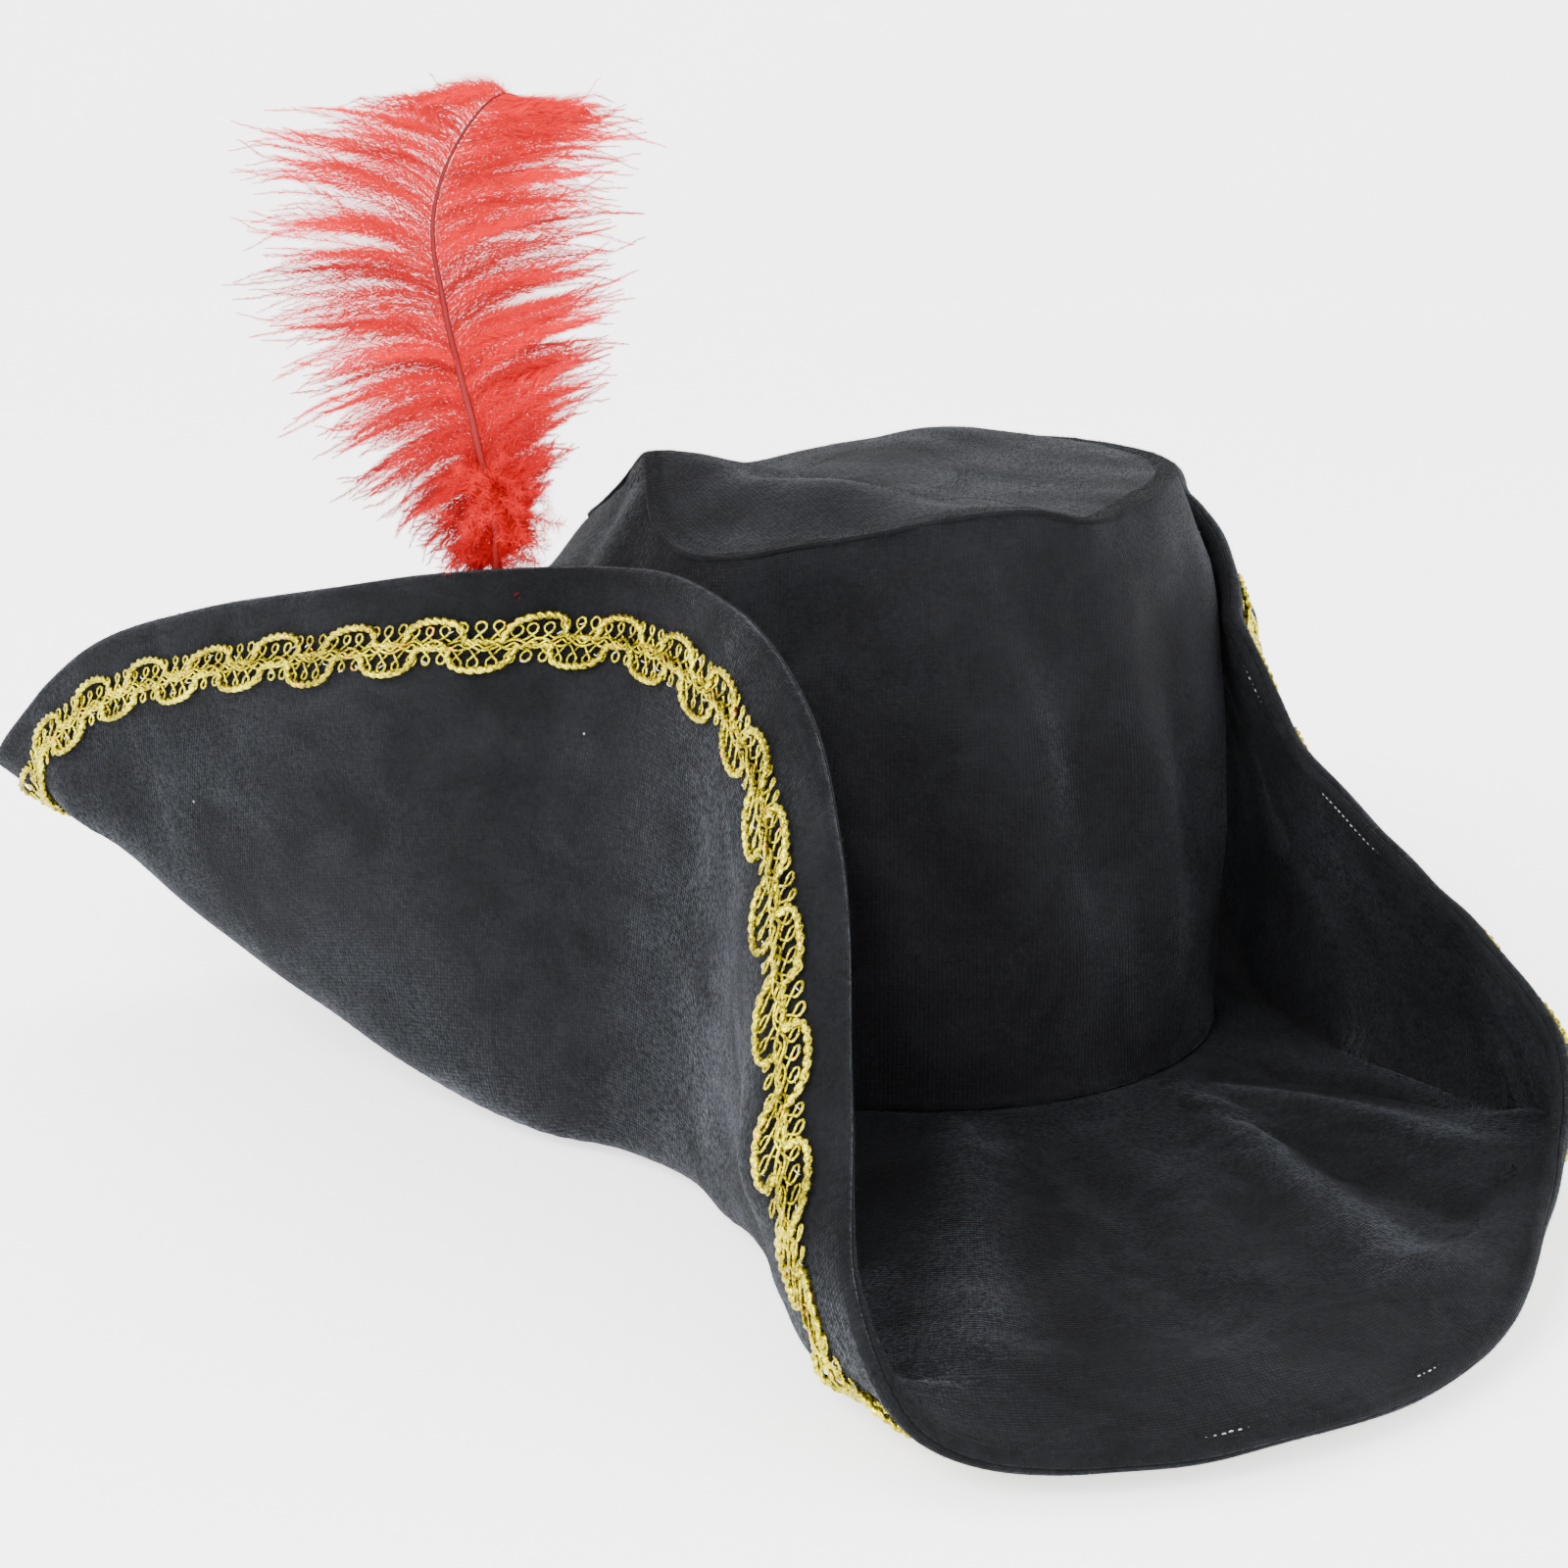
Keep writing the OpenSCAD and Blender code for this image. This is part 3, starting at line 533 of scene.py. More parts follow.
def bump(nt, h, strength, dist, prev=None):
    n = node(nt, "ShaderNodeBump")
    n.inputs["Strength"].default_value = strength
    n.inputs["Distance"].default_value = dist
    nt.links.new(h, n.inputs["Height"])
    if prev is not None:
        nt.links.new(prev, n.inputs["Normal"])
    return n.outputs["Normal"]


def velvet(name, weave=1.0, seed=0.0, painted_sheen_level=0.16):
    m, nt, b = new_mat(name)
    tc = node(nt, "ShaderNodeTexCoord")
    ob = tc.outputs["Object"]
    sh = node(nt, "ShaderNodeVectorMath", operation="ADD")
    nt.links.new(ob, sh.inputs[0])
    sh.inputs[1].default_value = (seed, seed * 0.7, seed * 1.3)
    ob = sh.outputs[0]
    # rubbed patches of pile, brushed both ways
    patch = noise(nt, ob, 14.0, 4, 0.65, 0.6)
    mid = noise(nt, ob, 55.0, 4, 0.7, 0.8)
    grain = noise(nt, ob, 900.0, 2, 0.75)
    fine = noise(nt, ob, 2600.0, 1, 0.6)
    # woven ground that shows through the pile, in rows and columns
    sep = node(nt, "ShaderNodeSeparateXYZ")
    nt.links.new(tc.outputs["UV"], sep.inputs[0])
    wu = mathn(nt, "ABSOLUTE", mathn(nt, "SINE", mathn(nt, "MULTIPLY", sep.outputs[0], math.pi / 0.95)))
    wv = mathn(nt, "ABSOLUTE", mathn(nt, "SINE", mathn(nt, "MULTIPLY", sep.outputs[1], math.pi / 0.95)))
    cell = mathn(nt, "MULTIPLY", mathn(nt, "POWER", wu, 0.6), mathn(nt, "POWER", wv, 0.6))
    shows = maprange(nt, patch, 0.42, 0.62, 0.15, 1.0)
    wfac = mathn(nt, "MULTIPLY", shows, weave)
    # sheen follows pile direction, grain and weave; below it is scaled by the nap attribute, which carries random nap
    # plus painted sheen bands, and by a painted sheen level per velvet copy
    pile = maprange(nt, mathn(nt, "ADD", mathn(nt, "MULTIPLY", patch, 0.6), mathn(nt, "MULTIPLY", mid, 0.4)), 0.40, 0.60, 0.42, 1.0)
    speck = maprange(nt, grain, 0.36, 0.64, 0.10, 1.8)
    weav = mathn(nt, "ADD", mathn(nt, "MULTIPLY", cell, wfac), mathn(nt, "SUBTRACT", 1.0, wfac))
    weav = maprange(nt, weav, 0.0, 1.0, 0.35, 1.1)
    sheen = mathn(nt, "MULTIPLY", mathn(nt, "MULTIPLY", pile, speck), weav)
    # painted highlight: the nap attribute raises the sheen along bands placed where light catches and lowers it where
    # shade falls
    at = node(nt, "ShaderNodeAttribute", attribute_name="nap_and_painted_sheen")
    sheen = mathn(nt, "MULTIPLY", sheen, maprange(nt, at.outputs["Fac"], 0.0, 1.0, 0.12, 2.1))
    sheen = mathn(nt, "MULTIPLY", sheen, painted_sheen_level, clamp=True)
    nt.links.new(sheen, b.inputs["Sheen Weight"])
    b.inputs["Sheen Roughness"].default_value = 0.42
    b.inputs["Sheen Tint"].default_value = (0.62, 0.68, 0.80, 1)
    col = ramp(nt, mathn(nt, "MULTIPLY", mathn(nt, "ADD", pile, grain), 0.5), [(0.15, (0.0016, 0.0017, 0.0020)), (0.5, (0.0036, 0.0038, 0.0044)), (0.9, (0.0080, 0.0084, 0.0096))])
    # a few specks of lint
    vor = node(nt, "ShaderNodeTexVoronoi", feature="F1")
    vor.inputs["Scale"].default_value = 58.0
    nt.links.new(ob, vor.inputs["Vector"])
    dot = maprange(nt, vor.outputs["Distance"], 0.016, 0.024, 1.0, 0.0)
    sc = node(nt, "ShaderNodeSeparateColor")
    nt.links.new(vor.outputs["Color"], sc.inputs[0])
    rare = maprange(nt, sc.outputs[0], 0.90, 0.92, 0.0, 1.0)
    lint = mathn(nt, "MULTIPLY", dot, rare)
    mx = node(nt, "ShaderNodeMix", data_type="RGBA")
    nt.links.new(lint, mx.inputs[0])
    nt.links.new(col, mx.inputs[6])
    mx.inputs[7].default_value = (0.30, 0.31, 0.33, 1)
    nt.links.new(mx.outputs[2], b.inputs["Base Color"])
    b.inputs["Roughness"].default_value = 0.85
    b.inputs["Specular IOR Level"].default_value = 0.05
    n1 = bump(nt, mid, 0.35, 0.0011)
    n2 = bump(nt, cell, 0.45 * weave, 0.00030, n1)
    n3 = bump(nt, grain, 0.55, 0.00042, n2)
    n4 = bump(nt, fine, 0.4, 0.00016, n3)
    nt.links.new(n4, b.inputs["Normal"])
    return m


def cloth_mat(name, c0, c1, scale=500.0, rough=0.9, sheen=0.15, rib=None, bumpd=0.0003):
    m, nt, b = new_mat(name)
    tc = node(nt, "ShaderNodeTexCoord")
    ob = tc.outputs["Object"]
    a = noise(nt, ob, scale, 3, 0.6)
    w = noise(nt, ob, 24.0, 3, 0.6)
    f = mathn(nt, "ADD", mathn(nt, "MULTIPLY", a, 0.6), mathn(nt, "MULTIPLY", w, 0.4))
    nt.links.new(ramp(nt, f, [(0.3, c0), (0.7, c1)]), b.inputs["Base Color"])
    b.inputs["Roughness"].default_value = rough
    b.inputs["Sheen Weight"].default_value = sheen
    n = bump(nt, a, 0.5, bumpd)
    if rib is not None:
        sep = node(nt, "ShaderNodeSeparateXYZ")
        nt.links.new(tc.outputs["UV"], sep.inputs[0])
        k = mathn(nt, "ABSOLUTE", mathn(nt, "SINE", mathn(nt, "MULTIPLY", sep.outputs[0], math.pi / rib)))
        n = bump(nt, k, 0.6, 0.00035, n)
    nt.links.new(n, b.inputs["Normal"])
    return m


def gold_mat(name, bright=1.0):
    m, nt, b = new_mat(name)
    tc = node(nt, "ShaderNodeTexCoord")
    ob = tc.outputs["Object"]
    a = noise(nt, ob, 1500.0, 2, 0.6)
    w = noise(nt, ob, 95.0, 4, 0.7)
    glint = noise(nt, ob, 420.0, 1, 0.5)
    # foil colour: random tone over noise, partly real, whose dark low stops are painted shade and whose bright top stop
    # is painted sparkle
    f = mathn(nt, "ADD", mathn(nt, "MULTIPLY", a, 0.55), mathn(nt, "MULTIPLY", w, 0.45))
    c = ramp(nt, f, [(0.38, (0.080 * bright, 0.068 * bright, 0.001)), (0.48, (0.30 * bright, 0.25 * bright, 0.003)),
                     (0.57, (0.66 * bright, 0.58 * bright, 0.008)), (0.68, (1.0, 0.96, 0.13))])
    mx = node(nt, "ShaderNodeMix", data_type="RGBA")
    nt.links.new(maprange(nt, glint, 0.70, 0.74, 0.0, 0.85), mx.inputs[0])
    nt.links.new(c, mx.inputs[6])
    mx.inputs[7].default_value = (0.95, 0.30, 0.04, 1)
    nt.links.new(mx.outputs[2], b.inputs["Base Color"])
    b.inputs["Metallic"].default_value = 0.92
    nt.links.new(maprange(nt, a, 0.3, 0.7, 0.16, 0.38), b.inputs["Roughness"])
    b.inputs["Specular IOR Level"].default_value = 0.6
    # foil wound round the thread
    n1 = bump(nt, a, 0.7, 0.00018)
    nt.links.new(n1, b.inputs["Normal"])
    return m


def red_mat(name, deep, mid_c, light, trans=0.35):
    m, nt, b = new_mat(name)
    tc = node(nt, "ShaderNodeTexCoord")
    ob = tc.outputs["Object"]
    at = node(nt, "ShaderNodeAttribute", attribute_name="tone")
    a = noise(nt, ob, 180.0, 3, 0.6)
    f = mathn(nt, "ADD", mathn(nt, "MULTIPLY", at.outputs["Fac"], 0.75), mathn(nt, "MULTIPLY", a, 0.25))
    c = ramp(nt, f, [(0.12, deep), (0.5, mid_c), (0.85, light)])
    nt.links.new(c, b.inputs["Base Color"])
    b.inputs["Roughness"].default_value = 0.62
    b.inputs["Specular IOR Level"].default_value = 0.25
    tr = node(nt, "ShaderNodeBsdfTranslucent")
    nt.links.new(c, tr.inputs["Color"])
    mix = node(nt, "ShaderNodeMixShader")
    mix.inputs[0].default_value = trans
    nt.links.new(b.outputs[0], mix.inputs[1])
    nt.links.new(tr.outputs[0], mix.inputs[2])
    nt.links.new(mix.outputs[0], nt.nodes["Material Output"].inputs["Surface"])
    return m


# painted light and shade: the velvet copies get different sheen levels, brighter on the flap faces and crown side,
# darker on the lobe and tip
V_UP = velvet("velvet_upper", 1.0, 0.0, 0.070)
V_UN = velvet("velvet_under", 0.8, 0.31, 0.125)
V_CR = velvet("velvet_crown", 1.0, 0.17, 0.120)
V_TIP = velvet("velvet_tip", 0.7, 0.53, 0.050)
FOAM = cloth_mat("foam_backing", (0.020, 0.020, 0.022), (0.050, 0.050, 0.055), 420, 0.95, 0.1)
CORE_M = cloth_mat("interlining", (0.03, 0.03, 0.032), (0.07, 0.07, 0.075), 380, 0.95, 0.05)
TAPE = cloth_mat("cotton_tape", (0.012, 0.012, 0.014), (0.030, 0.030, 0.034), 700, 0.8, 0.2, rib=1.1)
SWEAT = cloth_mat("grosgrain", (0.014, 0.014, 0.016), (0.034, 0.034, 0.038), 800, 0.62, 0.3, rib=1.4)
BLACK_TH = cloth_mat("black_thread", (0.010, 0.010, 0.012), (0.035, 0.035, 0.04), 2500, 0.6, 0.2)
WHITE_TH = cloth_mat("white_thread", (0.42, 0.42, 0.42), (0.78, 0.78, 0.78), 2500, 0.5, 0.2)
GREY_TH = cloth_mat("dark_stitch", (0.04, 0.04, 0.045), (0.11, 0.11, 0.12), 2500, 0.6, 0.2)
GOLD = gold_mat("gold_cord", 1.0)
GOLD2 = gold_mat("gold_thin_cord", 1.0)
RED_L = red_mat("ostrich_barbs", (0.30, 0.0001, 0.0012), (0.66, 0.0005, 0.0065), (0.84, 0.0025, 0.0180), 0.36)
RED_D = red_mat("ostrich_down", (0.42, 0.0001, 0.0008), (0.60, 0.0002, 0.0030), (0.74, 0.0010, 0.0080), 0.28)
SHAFT = red_mat("plume_shaft", (0.26, 0.004, 0.002), (0.15, 0.0006, 0.001), (0.09, 0.0003, 0.0008), 0.05)

# ------------------------------------------------------------------ brim layers
upper = brim_cloth(-1, "brim_upper_velvet_cloth", V_UP)
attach(upper, "hat"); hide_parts("brim_upper_velvet")
under = brim_cloth(1, "brim_under_velvet_cloth", V_UN)
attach(under, "hat"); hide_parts("brim_under_velvet")

ccols = np.arange(0, NU, 4)
dcore = (RC + 0.6) + (SEAMD[ccols][:, None] - (RC + 0.6)) * np.linspace(0, 1, 40)[None]
pc, nc_ = rows_at(ccols, dcore)
loopc = np.concatenate([(pc - nc_ * CORE)[:, ::-1], pc + nc_ * CORE], 1)
core = make("brim_interlining_foam", loopc.reshape(-1, 3), [grid_faces(len(ccols), loopc.shape[1], True, True, flip=True)], CORE_M)
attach(core, "hat"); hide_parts("brim_interlining")


# ------------------------------------------------------------------ the crown
def crown_side_p(u, k):
    z0 = SZ + 2.4
    z1 = pspline(u, TU, TZ) - 0.6
    r = crown_side_rk(u, k)
    t = np.radians(u)
    return np.stack([r * np.cos(t), r * np.sin(t), z0 + (z1 - z0) * k], -1)


NCU, NCK = 560, 104
uc = np.arange(NCU) * 360 / NCU
kc = np.linspace(0, 1, NCK)
UC, KC = np.meshgrid(uc, kc, indexing="ij")
C0 = crown_side_p(UC, KC)
aC = np.roll(C0, -1, 0) - np.roll(C0, 1, 0)
bC = np.gradient(C0, axis=1)
NC0 = unit(np.cross(aC, bC))


def cline(pts, n=60):
    p = polyline(pts, n)
    return crown_side_p(p[:, 0], p[:, 1])


HC = np.zeros((NCU, NCK))
# crest that falls from the top's front edge to the brim, with hollows on both sides
HC += ridge(C0, cline([(256, 1.0), (257, .82), (260, .62), (265, .42), (270, .25), (271, .05)]), 4.2, (16, 11), (0.05, 0.15))
HC -= ridge(C0, cline([(222, .98), (236, .80), (247, .60), (253, .40), (255, .20)]), 3.0, (13, 10), (0.15, 0.2))
HC -= ridge(C0, cline([(266, .98), (269, .78), (276, .5), (280, .2)]), 2.6, (9, 9), (0.1, 0.2))
HC += ridge(C0, cline([(218, 1.0), (226, .8), (236, .6), (243, .4), (246, .15)]), 2.2, (8, 9), (0.05, 0.2))
HC += ridge(C0, cline([(284, .95), (287, .7), (292, .4), (292, .1)]), 2.4, (12, 8), (0.15, 0.2))
HC -= ridge(C0, cline([(301, .9), (303, .6), (304, .25)]), 2.0, (12, 10))
HC += ridge(C0, cline([(318, .95), (320, .6), (318, .2)]), 2.0, (13, 11))
HC -= ridge(C0, cline([(176, .98), (176, .75), (172, .5)]), 3.2, (12, 10), (0.05, 0.3))
HC += ridge(C0, cline([(190, .95), (193, .6), (196, .2)]), 2.0, (10, 9))
HC += ridge(C0, cline([(60, .9), (62, .5), (60, .15)]), 2.4, (14, 12))
HC -= ridge(C0, cline([(85, .9), (88, .5), (92, .15)]), 2.2, (14, 12))
HC += ridge(C0, cline([(112, .95), (115, .5), (112, .15)]), 2.6, (13, 12))
HC -= ridge(C0, cline([(20, .9), (17, .5), (20, .15)]), 2.0, (13, 12))
HC += ridge(C0, cline([(140, .9), (143, .4), (146, .1)]), 1.8, (12, 12))
side_mask = smooth(KC, 0.0, 0.10) * (1 - 0.65 * smooth(KC, 0.88, 1.0))
HC = HC * side_mask + smooth(KC, 0.02, 0.2) * (1 - smooth(KC, 0.9, 1.0)) * (0.9 * waves(C0, 45, 95, 21) + 0.35 * waves(C0, 18, 36, 22))
# little gathers below the seam of the top and above the seam of the brim
zc = C0[..., 2]
top_d = (1 - KC) * 140
bot_d = KC * 140
arcu = np.radians(UC) * 88
HC += 0.35 * np.exp(-top_d / 7) * waves(np.stack([arcu, 0 * arcu, 0 * arcu], -1), 9, 17, 23)
HC += 0.30 * np.exp(-bot_d / 8) * waves(np.stack([arcu, 0 * arcu, 0 * arcu + 50], -1), 9, 18, 24)
# curls in at the top seam and out at the foot
HC += -0.35 * np.exp(-(top_d / 1.5) ** 2) + 1.1 * np.exp(-(bot_d / 2.2) ** 2)
C1 = C0 + NC0 * HC[..., None]
# painted sheen on the crown side: random nap, plus a lit panel under the top's front left seam down to the row given by
# low, painted highlight streaks along the crest, and lit left and rear sides
NAP_AND_PAINTED_SHEEN_CROWN = 0.10 + 0.09 * waves(C0, 28, 70, 64)
low = np.interp(UC, [216, 219, 244, 256, 260], [.98, .94, .72, .78, .9])
NAP_AND_PAINTED_SHEEN_CROWN += 0.62 * smooth(UC, 215, 224) * (1 - smooth(UC, 251.5, 255.5)) * smooth(KC, low - 0.05, low + 0.02)
NAP_AND_PAINTED_SHEEN_CROWN += ridge(C0, cline([(212, 1.0), (231, .78), (243, .62), (252, .52), (259, .38), (263, .28), (264, .12), (262, .02)]), 0.42, (5, 9), (0.02, 0.1))
NAP_AND_PAINTED_SHEEN_CROWN += ridge(C0, cline([(269, .80), (270, .66), (274, .48)]), 0.38, (3, 5))
NAP_AND_PAINTED_SHEEN_CROWN += ridge(C0, cline([(276, .45), (280, .3), (286, .1)]), 0.16, (8, 8))
NAP_AND_PAINTED_SHEEN_CROWN += 0.35 * window(UC, 120, 140, 196, 214) * smooth(KC, 0.5, 0.8)
NAP_AND_PAINTED_SHEEN_CROWN += 0.30 * window(UC, 20, 50, 110, 135)
NAP_AND_PAINTED_SHEEN_CROWN = np.clip(NAP_AND_PAINTED_SHEEN_CROWN, 0, 1)
inner_rows = np.linspace(1, 0, 24)
CI = np.stack([[np.interp(inner_rows, kc, C1[i, :, c]) for c in range(3)] for i in range(NCU)]).transpose(0, 2, 1)
NI = np.stack([[np.interp(inner_rows, kc, NC0[i, :, c]) for c in range(3)] for i in range(NCU)]).transpose(0, 2, 1)
loop = np.concatenate([C1, CI - unit(NI) * 1.2], 1)
m = loop.shape[1]
arc = np.radians(np.append(uc, 360)) * 88
uv = grid_uv(np.repeat(arc[:, None], m, 1), np.repeat(np.concatenate([kc * 142, 142 + np.linspace(0, 142, 24)])[None], NCU + 1, 0), wrap_v=True)
side = make("crown_side_velvet_cloth", loop.reshape(-1, 3), [grid_faces(NCU, m, True, True)], V_CR, uv, attr={"nap_and_painted_sheen": np.concatenate([NAP_AND_PAINTED_SHEEN_CROWN, np.full((NCU, 24), 0.2)], 1).ravel()})
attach(side, "hat"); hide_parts("crown_side_velvet")

br = np.linspace(0.012, 0.985, 44)
bi = np.arange(0, NCU, 4)
BO = np.stack([[np.interp(br, kc, C1[i, :, c]) for c in range(3)] for i in bi]).transpose(0, 2, 1)
BN = unit(np.stack([[np.interp(br, kc, NC0[i, :, c]) for c in range(3)] for i in bi]).transpose(0, 2, 1))
bloop = np.concatenate([BO - BN * 1.45, (BO - BN * (3.05 + 0.25 * waves(BO, 12, 26, 25))[..., None])[:, ::-1]], 1)
sback = make("crown_side_foam_backing", bloop.reshape(-1, 3), [grid_faces(len(bi), bloop.shape[1], True, True)], FOAM)
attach(sback, "hat"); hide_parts("crown_side_backing")


def hill(x, y, x0, y0, ang, la, lb, h):
    a = np.radians(ang)
    dx, dy = x - x0, y - y0
    p = dx * np.cos(a) + dy * np.sin(a)
    q = -dx * np.sin(a) + dy * np.cos(a)
    return h * np.exp(-p * p / (la * la) - q * q / (lb * lb))


def crease(x, y, pts, h, near_w, far_w):
    """ridge that is gentle on one side and steep on the other, along a line in plan"""
    line = polyline(pts, 60)
    best = np.full(x.shape, 1e9)
    sgn = np.zeros(x.shape)
    arg = np.zeros(x.shape)
    tang = unit(np.gradient(line, axis=0))
    for i, q in enumerate(line):
        dx, dy = x - q[0], y - q[1]
        d = dx * dx + dy * dy
        mk = d < best
        best[mk] = d[mk]
        sgn[mk] = (tang[i, 0] * dy - tang[i, 1] * dx)[mk]
        arg[mk] = i / 59
    w = np.where(sgn > 0, near_w, far_w)
    return h * smooth(arg, 0, 0.25) * (1 - smooth(arg, 0.75, 1)) * np.exp(-best / (w * w))


def tip_z(u, k):
    r = pspline(u, TU, TR) * k
    t = np.radians(u)
    x, y = r * np.cos(t), r * np.sin(t)
    e = 1 - k ** 6
    z = 158 + (pspline(u, TU, TZ) - 158) * k * k + e * (hill(x, y, -46, -32, -65, 42, 17, 10) + hill(x, y, 25, 38, 20, 55, 34, 7) + hill(x, y, -28, 30, 40, 40, 26, -5))
    z = z + e * smooth(k, 0.0, 0.12) * (crease(x, y, [(-48, 26), (-30, 4), (-20, -28), (-14, -64)], 2.6, 4, 16) - crease(x, y, [(-38, 26), (-22, 6), (-13, -26), (-8, -58)], 2.2, 9, 5))
    return z


NTU, NTK = 480, 120
ut = np.arange(NTU) * 360 / NTU
kt = np.concatenate([np.linspace(0.012, 0.93, NTK - 22), np.linspace(0.93, 1.0, 23)[1:]])
UT, KT = np.meshgrid(ut, kt, indexing="ij")
tr_ = np.radians(UT)
RT = pspline(UT, TU, TR) * KT
T0 = np.stack([RT * np.cos(tr_), RT * np.sin(tr_), tip_z(UT, KT)], -1)
ed = (1 - KT) * 84
T0[..., 2] += (1 - smooth(KT, 0.9, 1)) * (0.7 * waves(T0 * [1, 1, 0], 30, 70, 31) + 0.28 * waves(T0 * [1, 1, 0], 12, 26, 32))
T0[..., 2] += 0.42 * np.exp(-ed / 6) * waves(np.stack([tr_ * 84, 0 * tr_, 0 * tr_], -1), 8, 15, 33) * smooth(ed, 0.0, 1.5)
# rolled seam at the rim of the top
T0[..., 2] += 0.12 * np.exp(-((ed - 1.6) / 1.6) ** 2)
roll_a = np.radians([25, 50, 75, 100])
rr = 0.85
tE = np.radians(ut)
rE = pspline(ut, TU, TR)
zE = T0[:, -1, 2]
rollp = np.stack([np.stack([(rE + rr * np.sin(a) * 0.6) * np.cos(tE), (rE + rr * np.sin(a) * 0.6) * np.sin(tE), zE - rr * (1 - np.cos(a))], -1) for a in roll_a], 1)
tuckp = np.stack([(rE - 1.2) * np.cos(tE), (rE - 1.2) * np.sin(tE), zE - 2.3], -1)[:, None]
ik = np.linspace(0.97, 0.02, 22)
IN = np.stack([[np.interp(ik, kt, T0[i, :, c]) for c in range(3)] for i in range(NTU)]).transpose(0, 2, 1)
IN[..., 2] -= 1.25
tl = np.concatenate([T0, rollp, tuckp, IN], 1)
m = tl.shape[1]
centre_top = np.array([[0, 0, T0[:, 0, 2].mean()]])
centre_in = np.array([[0, 0, IN[:, -1, 2].mean()]])
f = grid_faces(NTU, m, True, False, flip=True)
i = np.arange(NTU)
fan1 = np.stack([np.full(NTU, NTU * m), i * m, ((i + 1) % NTU) * m], -1)
fan2 = np.stack([np.full(NTU, NTU * m + 1), ((i + 1) % NTU) * m + m - 1, i * m + m - 1], -1)
co = np.concatenate([tl.reshape(-1, 3), centre_top, centre_in])
uvx, uvy = np.vstack([tl[..., 0], tl[:1, :, 0]]), np.vstack([tl[..., 1], tl[:1, :, 1]])
uvg = grid_uv(uvx, uvy, flip=True)
uvf = np.stack([co[fan1.ravel(), 0], co[fan1.ravel(), 1]], -1)
uvf2 = np.stack([co[fan2.ravel(), 0], co[fan2.ravel(), 1]], -1)
# nap of the top: random variation plus a painted highlight round the raised front left peak
tip = make("crown_tip_velvet_cloth", co, [f, fan1, fan2], V_TIP, np.concatenate([uvg, uvf, uvf2]), attr={"nap_and_painted_sheen": np.clip(0.42 + 0.22 * waves(co, 25, 70, 65) + 0.25 * np.exp(-((co[:, 0] + 52) ** 2 + (co[:, 1] + 30) ** 2) / 32 ** 2), 0, 1)})
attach(tip, "hat"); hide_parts("crown_tip_velvet")

ti = np.arange(0, NTU, 4)
bk = np.linspace(0.02, 0.955, 40)
TO = np.stack([[np.interp(bk, kt, T0[i, :, c]) for c in range(3)] for i in ti]).transpose(0, 2, 1)
lo = TO.copy()
TO[..., 2] -= 1.6
lo[..., 2] -= 3.2 + 0.2 * waves(lo, 12, 25, 34)
bl = np.concatenate([TO, lo[:, ::-1]], 1)
mb = bl.shape[1]
i = np.arange(len(ti))
nb = len(ti)
co = np.concatenate([bl.reshape(-1, 3), [[0, 0, TO[:, 0, 2].mean()], [0, 0, lo[:, 0, 2].mean()]]])
tback = make("crown_tip_foam_backing", co, [grid_faces(nb, mb, True, False, flip=True), np.stack([np.full(nb, nb * mb), i * mb, ((i + 1) % nb) * mb], -1), np.stack([np.full(nb, nb * mb + 1), ((i + 1) % nb) * mb + mb - 1, i * mb + mb - 1], -1)], FOAM)
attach(tback, "hat"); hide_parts("crown_tip_backing")


# ------------------------------------------------------------------ inside: tape, sweatband and its stitches
def ring(name, prof, mat, n=360, wob=0.0, seed=1):
    """closed ring of a profile of (distance in from the opening's line, z)"""
    u = np.arange(n) * 360 / n
    t = np.radians(u)
    pr = np.array(prof, float)
    r = oval_r(u)[:, None] - pr[None, :, 0]
    pts = np.stack([r * np.cos(t)[:, None], r * np.sin(t)[:, None], np.repeat(pr[None, :, 1], n, 0)], -1)
    if wob:
        w = waves(pts, 20, 45, seed) * wob
        pts[..., 0] += np.cos(t)[:, None] * w
        pts[..., 1] += np.sin(t)[:, None] * w
        pts[..., 2] += 0.6 * wob * waves(pts, 30, 60, seed + 1)
    arc = np.radians(np.append(u, 360)) * 92
    L = np.concatenate([[0], np.cumsum(np.linalg.norm(np.diff(pr, axis=0), axis=1))])
    k = len(pr)
    uv = grid_uv(np.repeat(arc[:, None], k, 1), np.repeat(L[None], n + 1, 0), wrap_v=True)
    return make(name, pts.reshape(-1, 3), [grid_faces(n, k, True, True, flip=True)], mat, uv)


z0 = SZ
tape = ring("headline_tape_strip", [(-0.7, z0 - 2.2), (0.4, z0 - 4.0), (1.0, z0 - 4.3), (1.5, z0 - 3.9), (1.6, z0 - 1), (1.55, z0 + 1.6), (1.5, z0 + 2.5), (0.9, z0 + 2.7), (0.4, z0 + 2.5), (0.4, z0 - 1.2)], TAPE, 420, 0.15, 61)
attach(tape, "hat"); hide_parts("headline_tape")
zs = z0 - 5
prof = [(4.2, zs + z) for z in np.linspace(0.3, 29.7, 20)] + [(4.5, zs + 30.1), (4.9, zs + 30.0)] + [(5.2 + 0.25 * math.sin(z / 30 * math.pi) - 0.22 * math.exp(-((z - 2.7) / 0.5) ** 2), zs + z) for z in np.linspace(29.6, 0.4, 40)] + [(4.9, zs - 0.05), (4.5, zs - 0.1)]
sweat = ring("sweatband_ribbon", prof, SWEAT, 480, 0.45, 62)
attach(sweat, "hat"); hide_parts("sweatband")


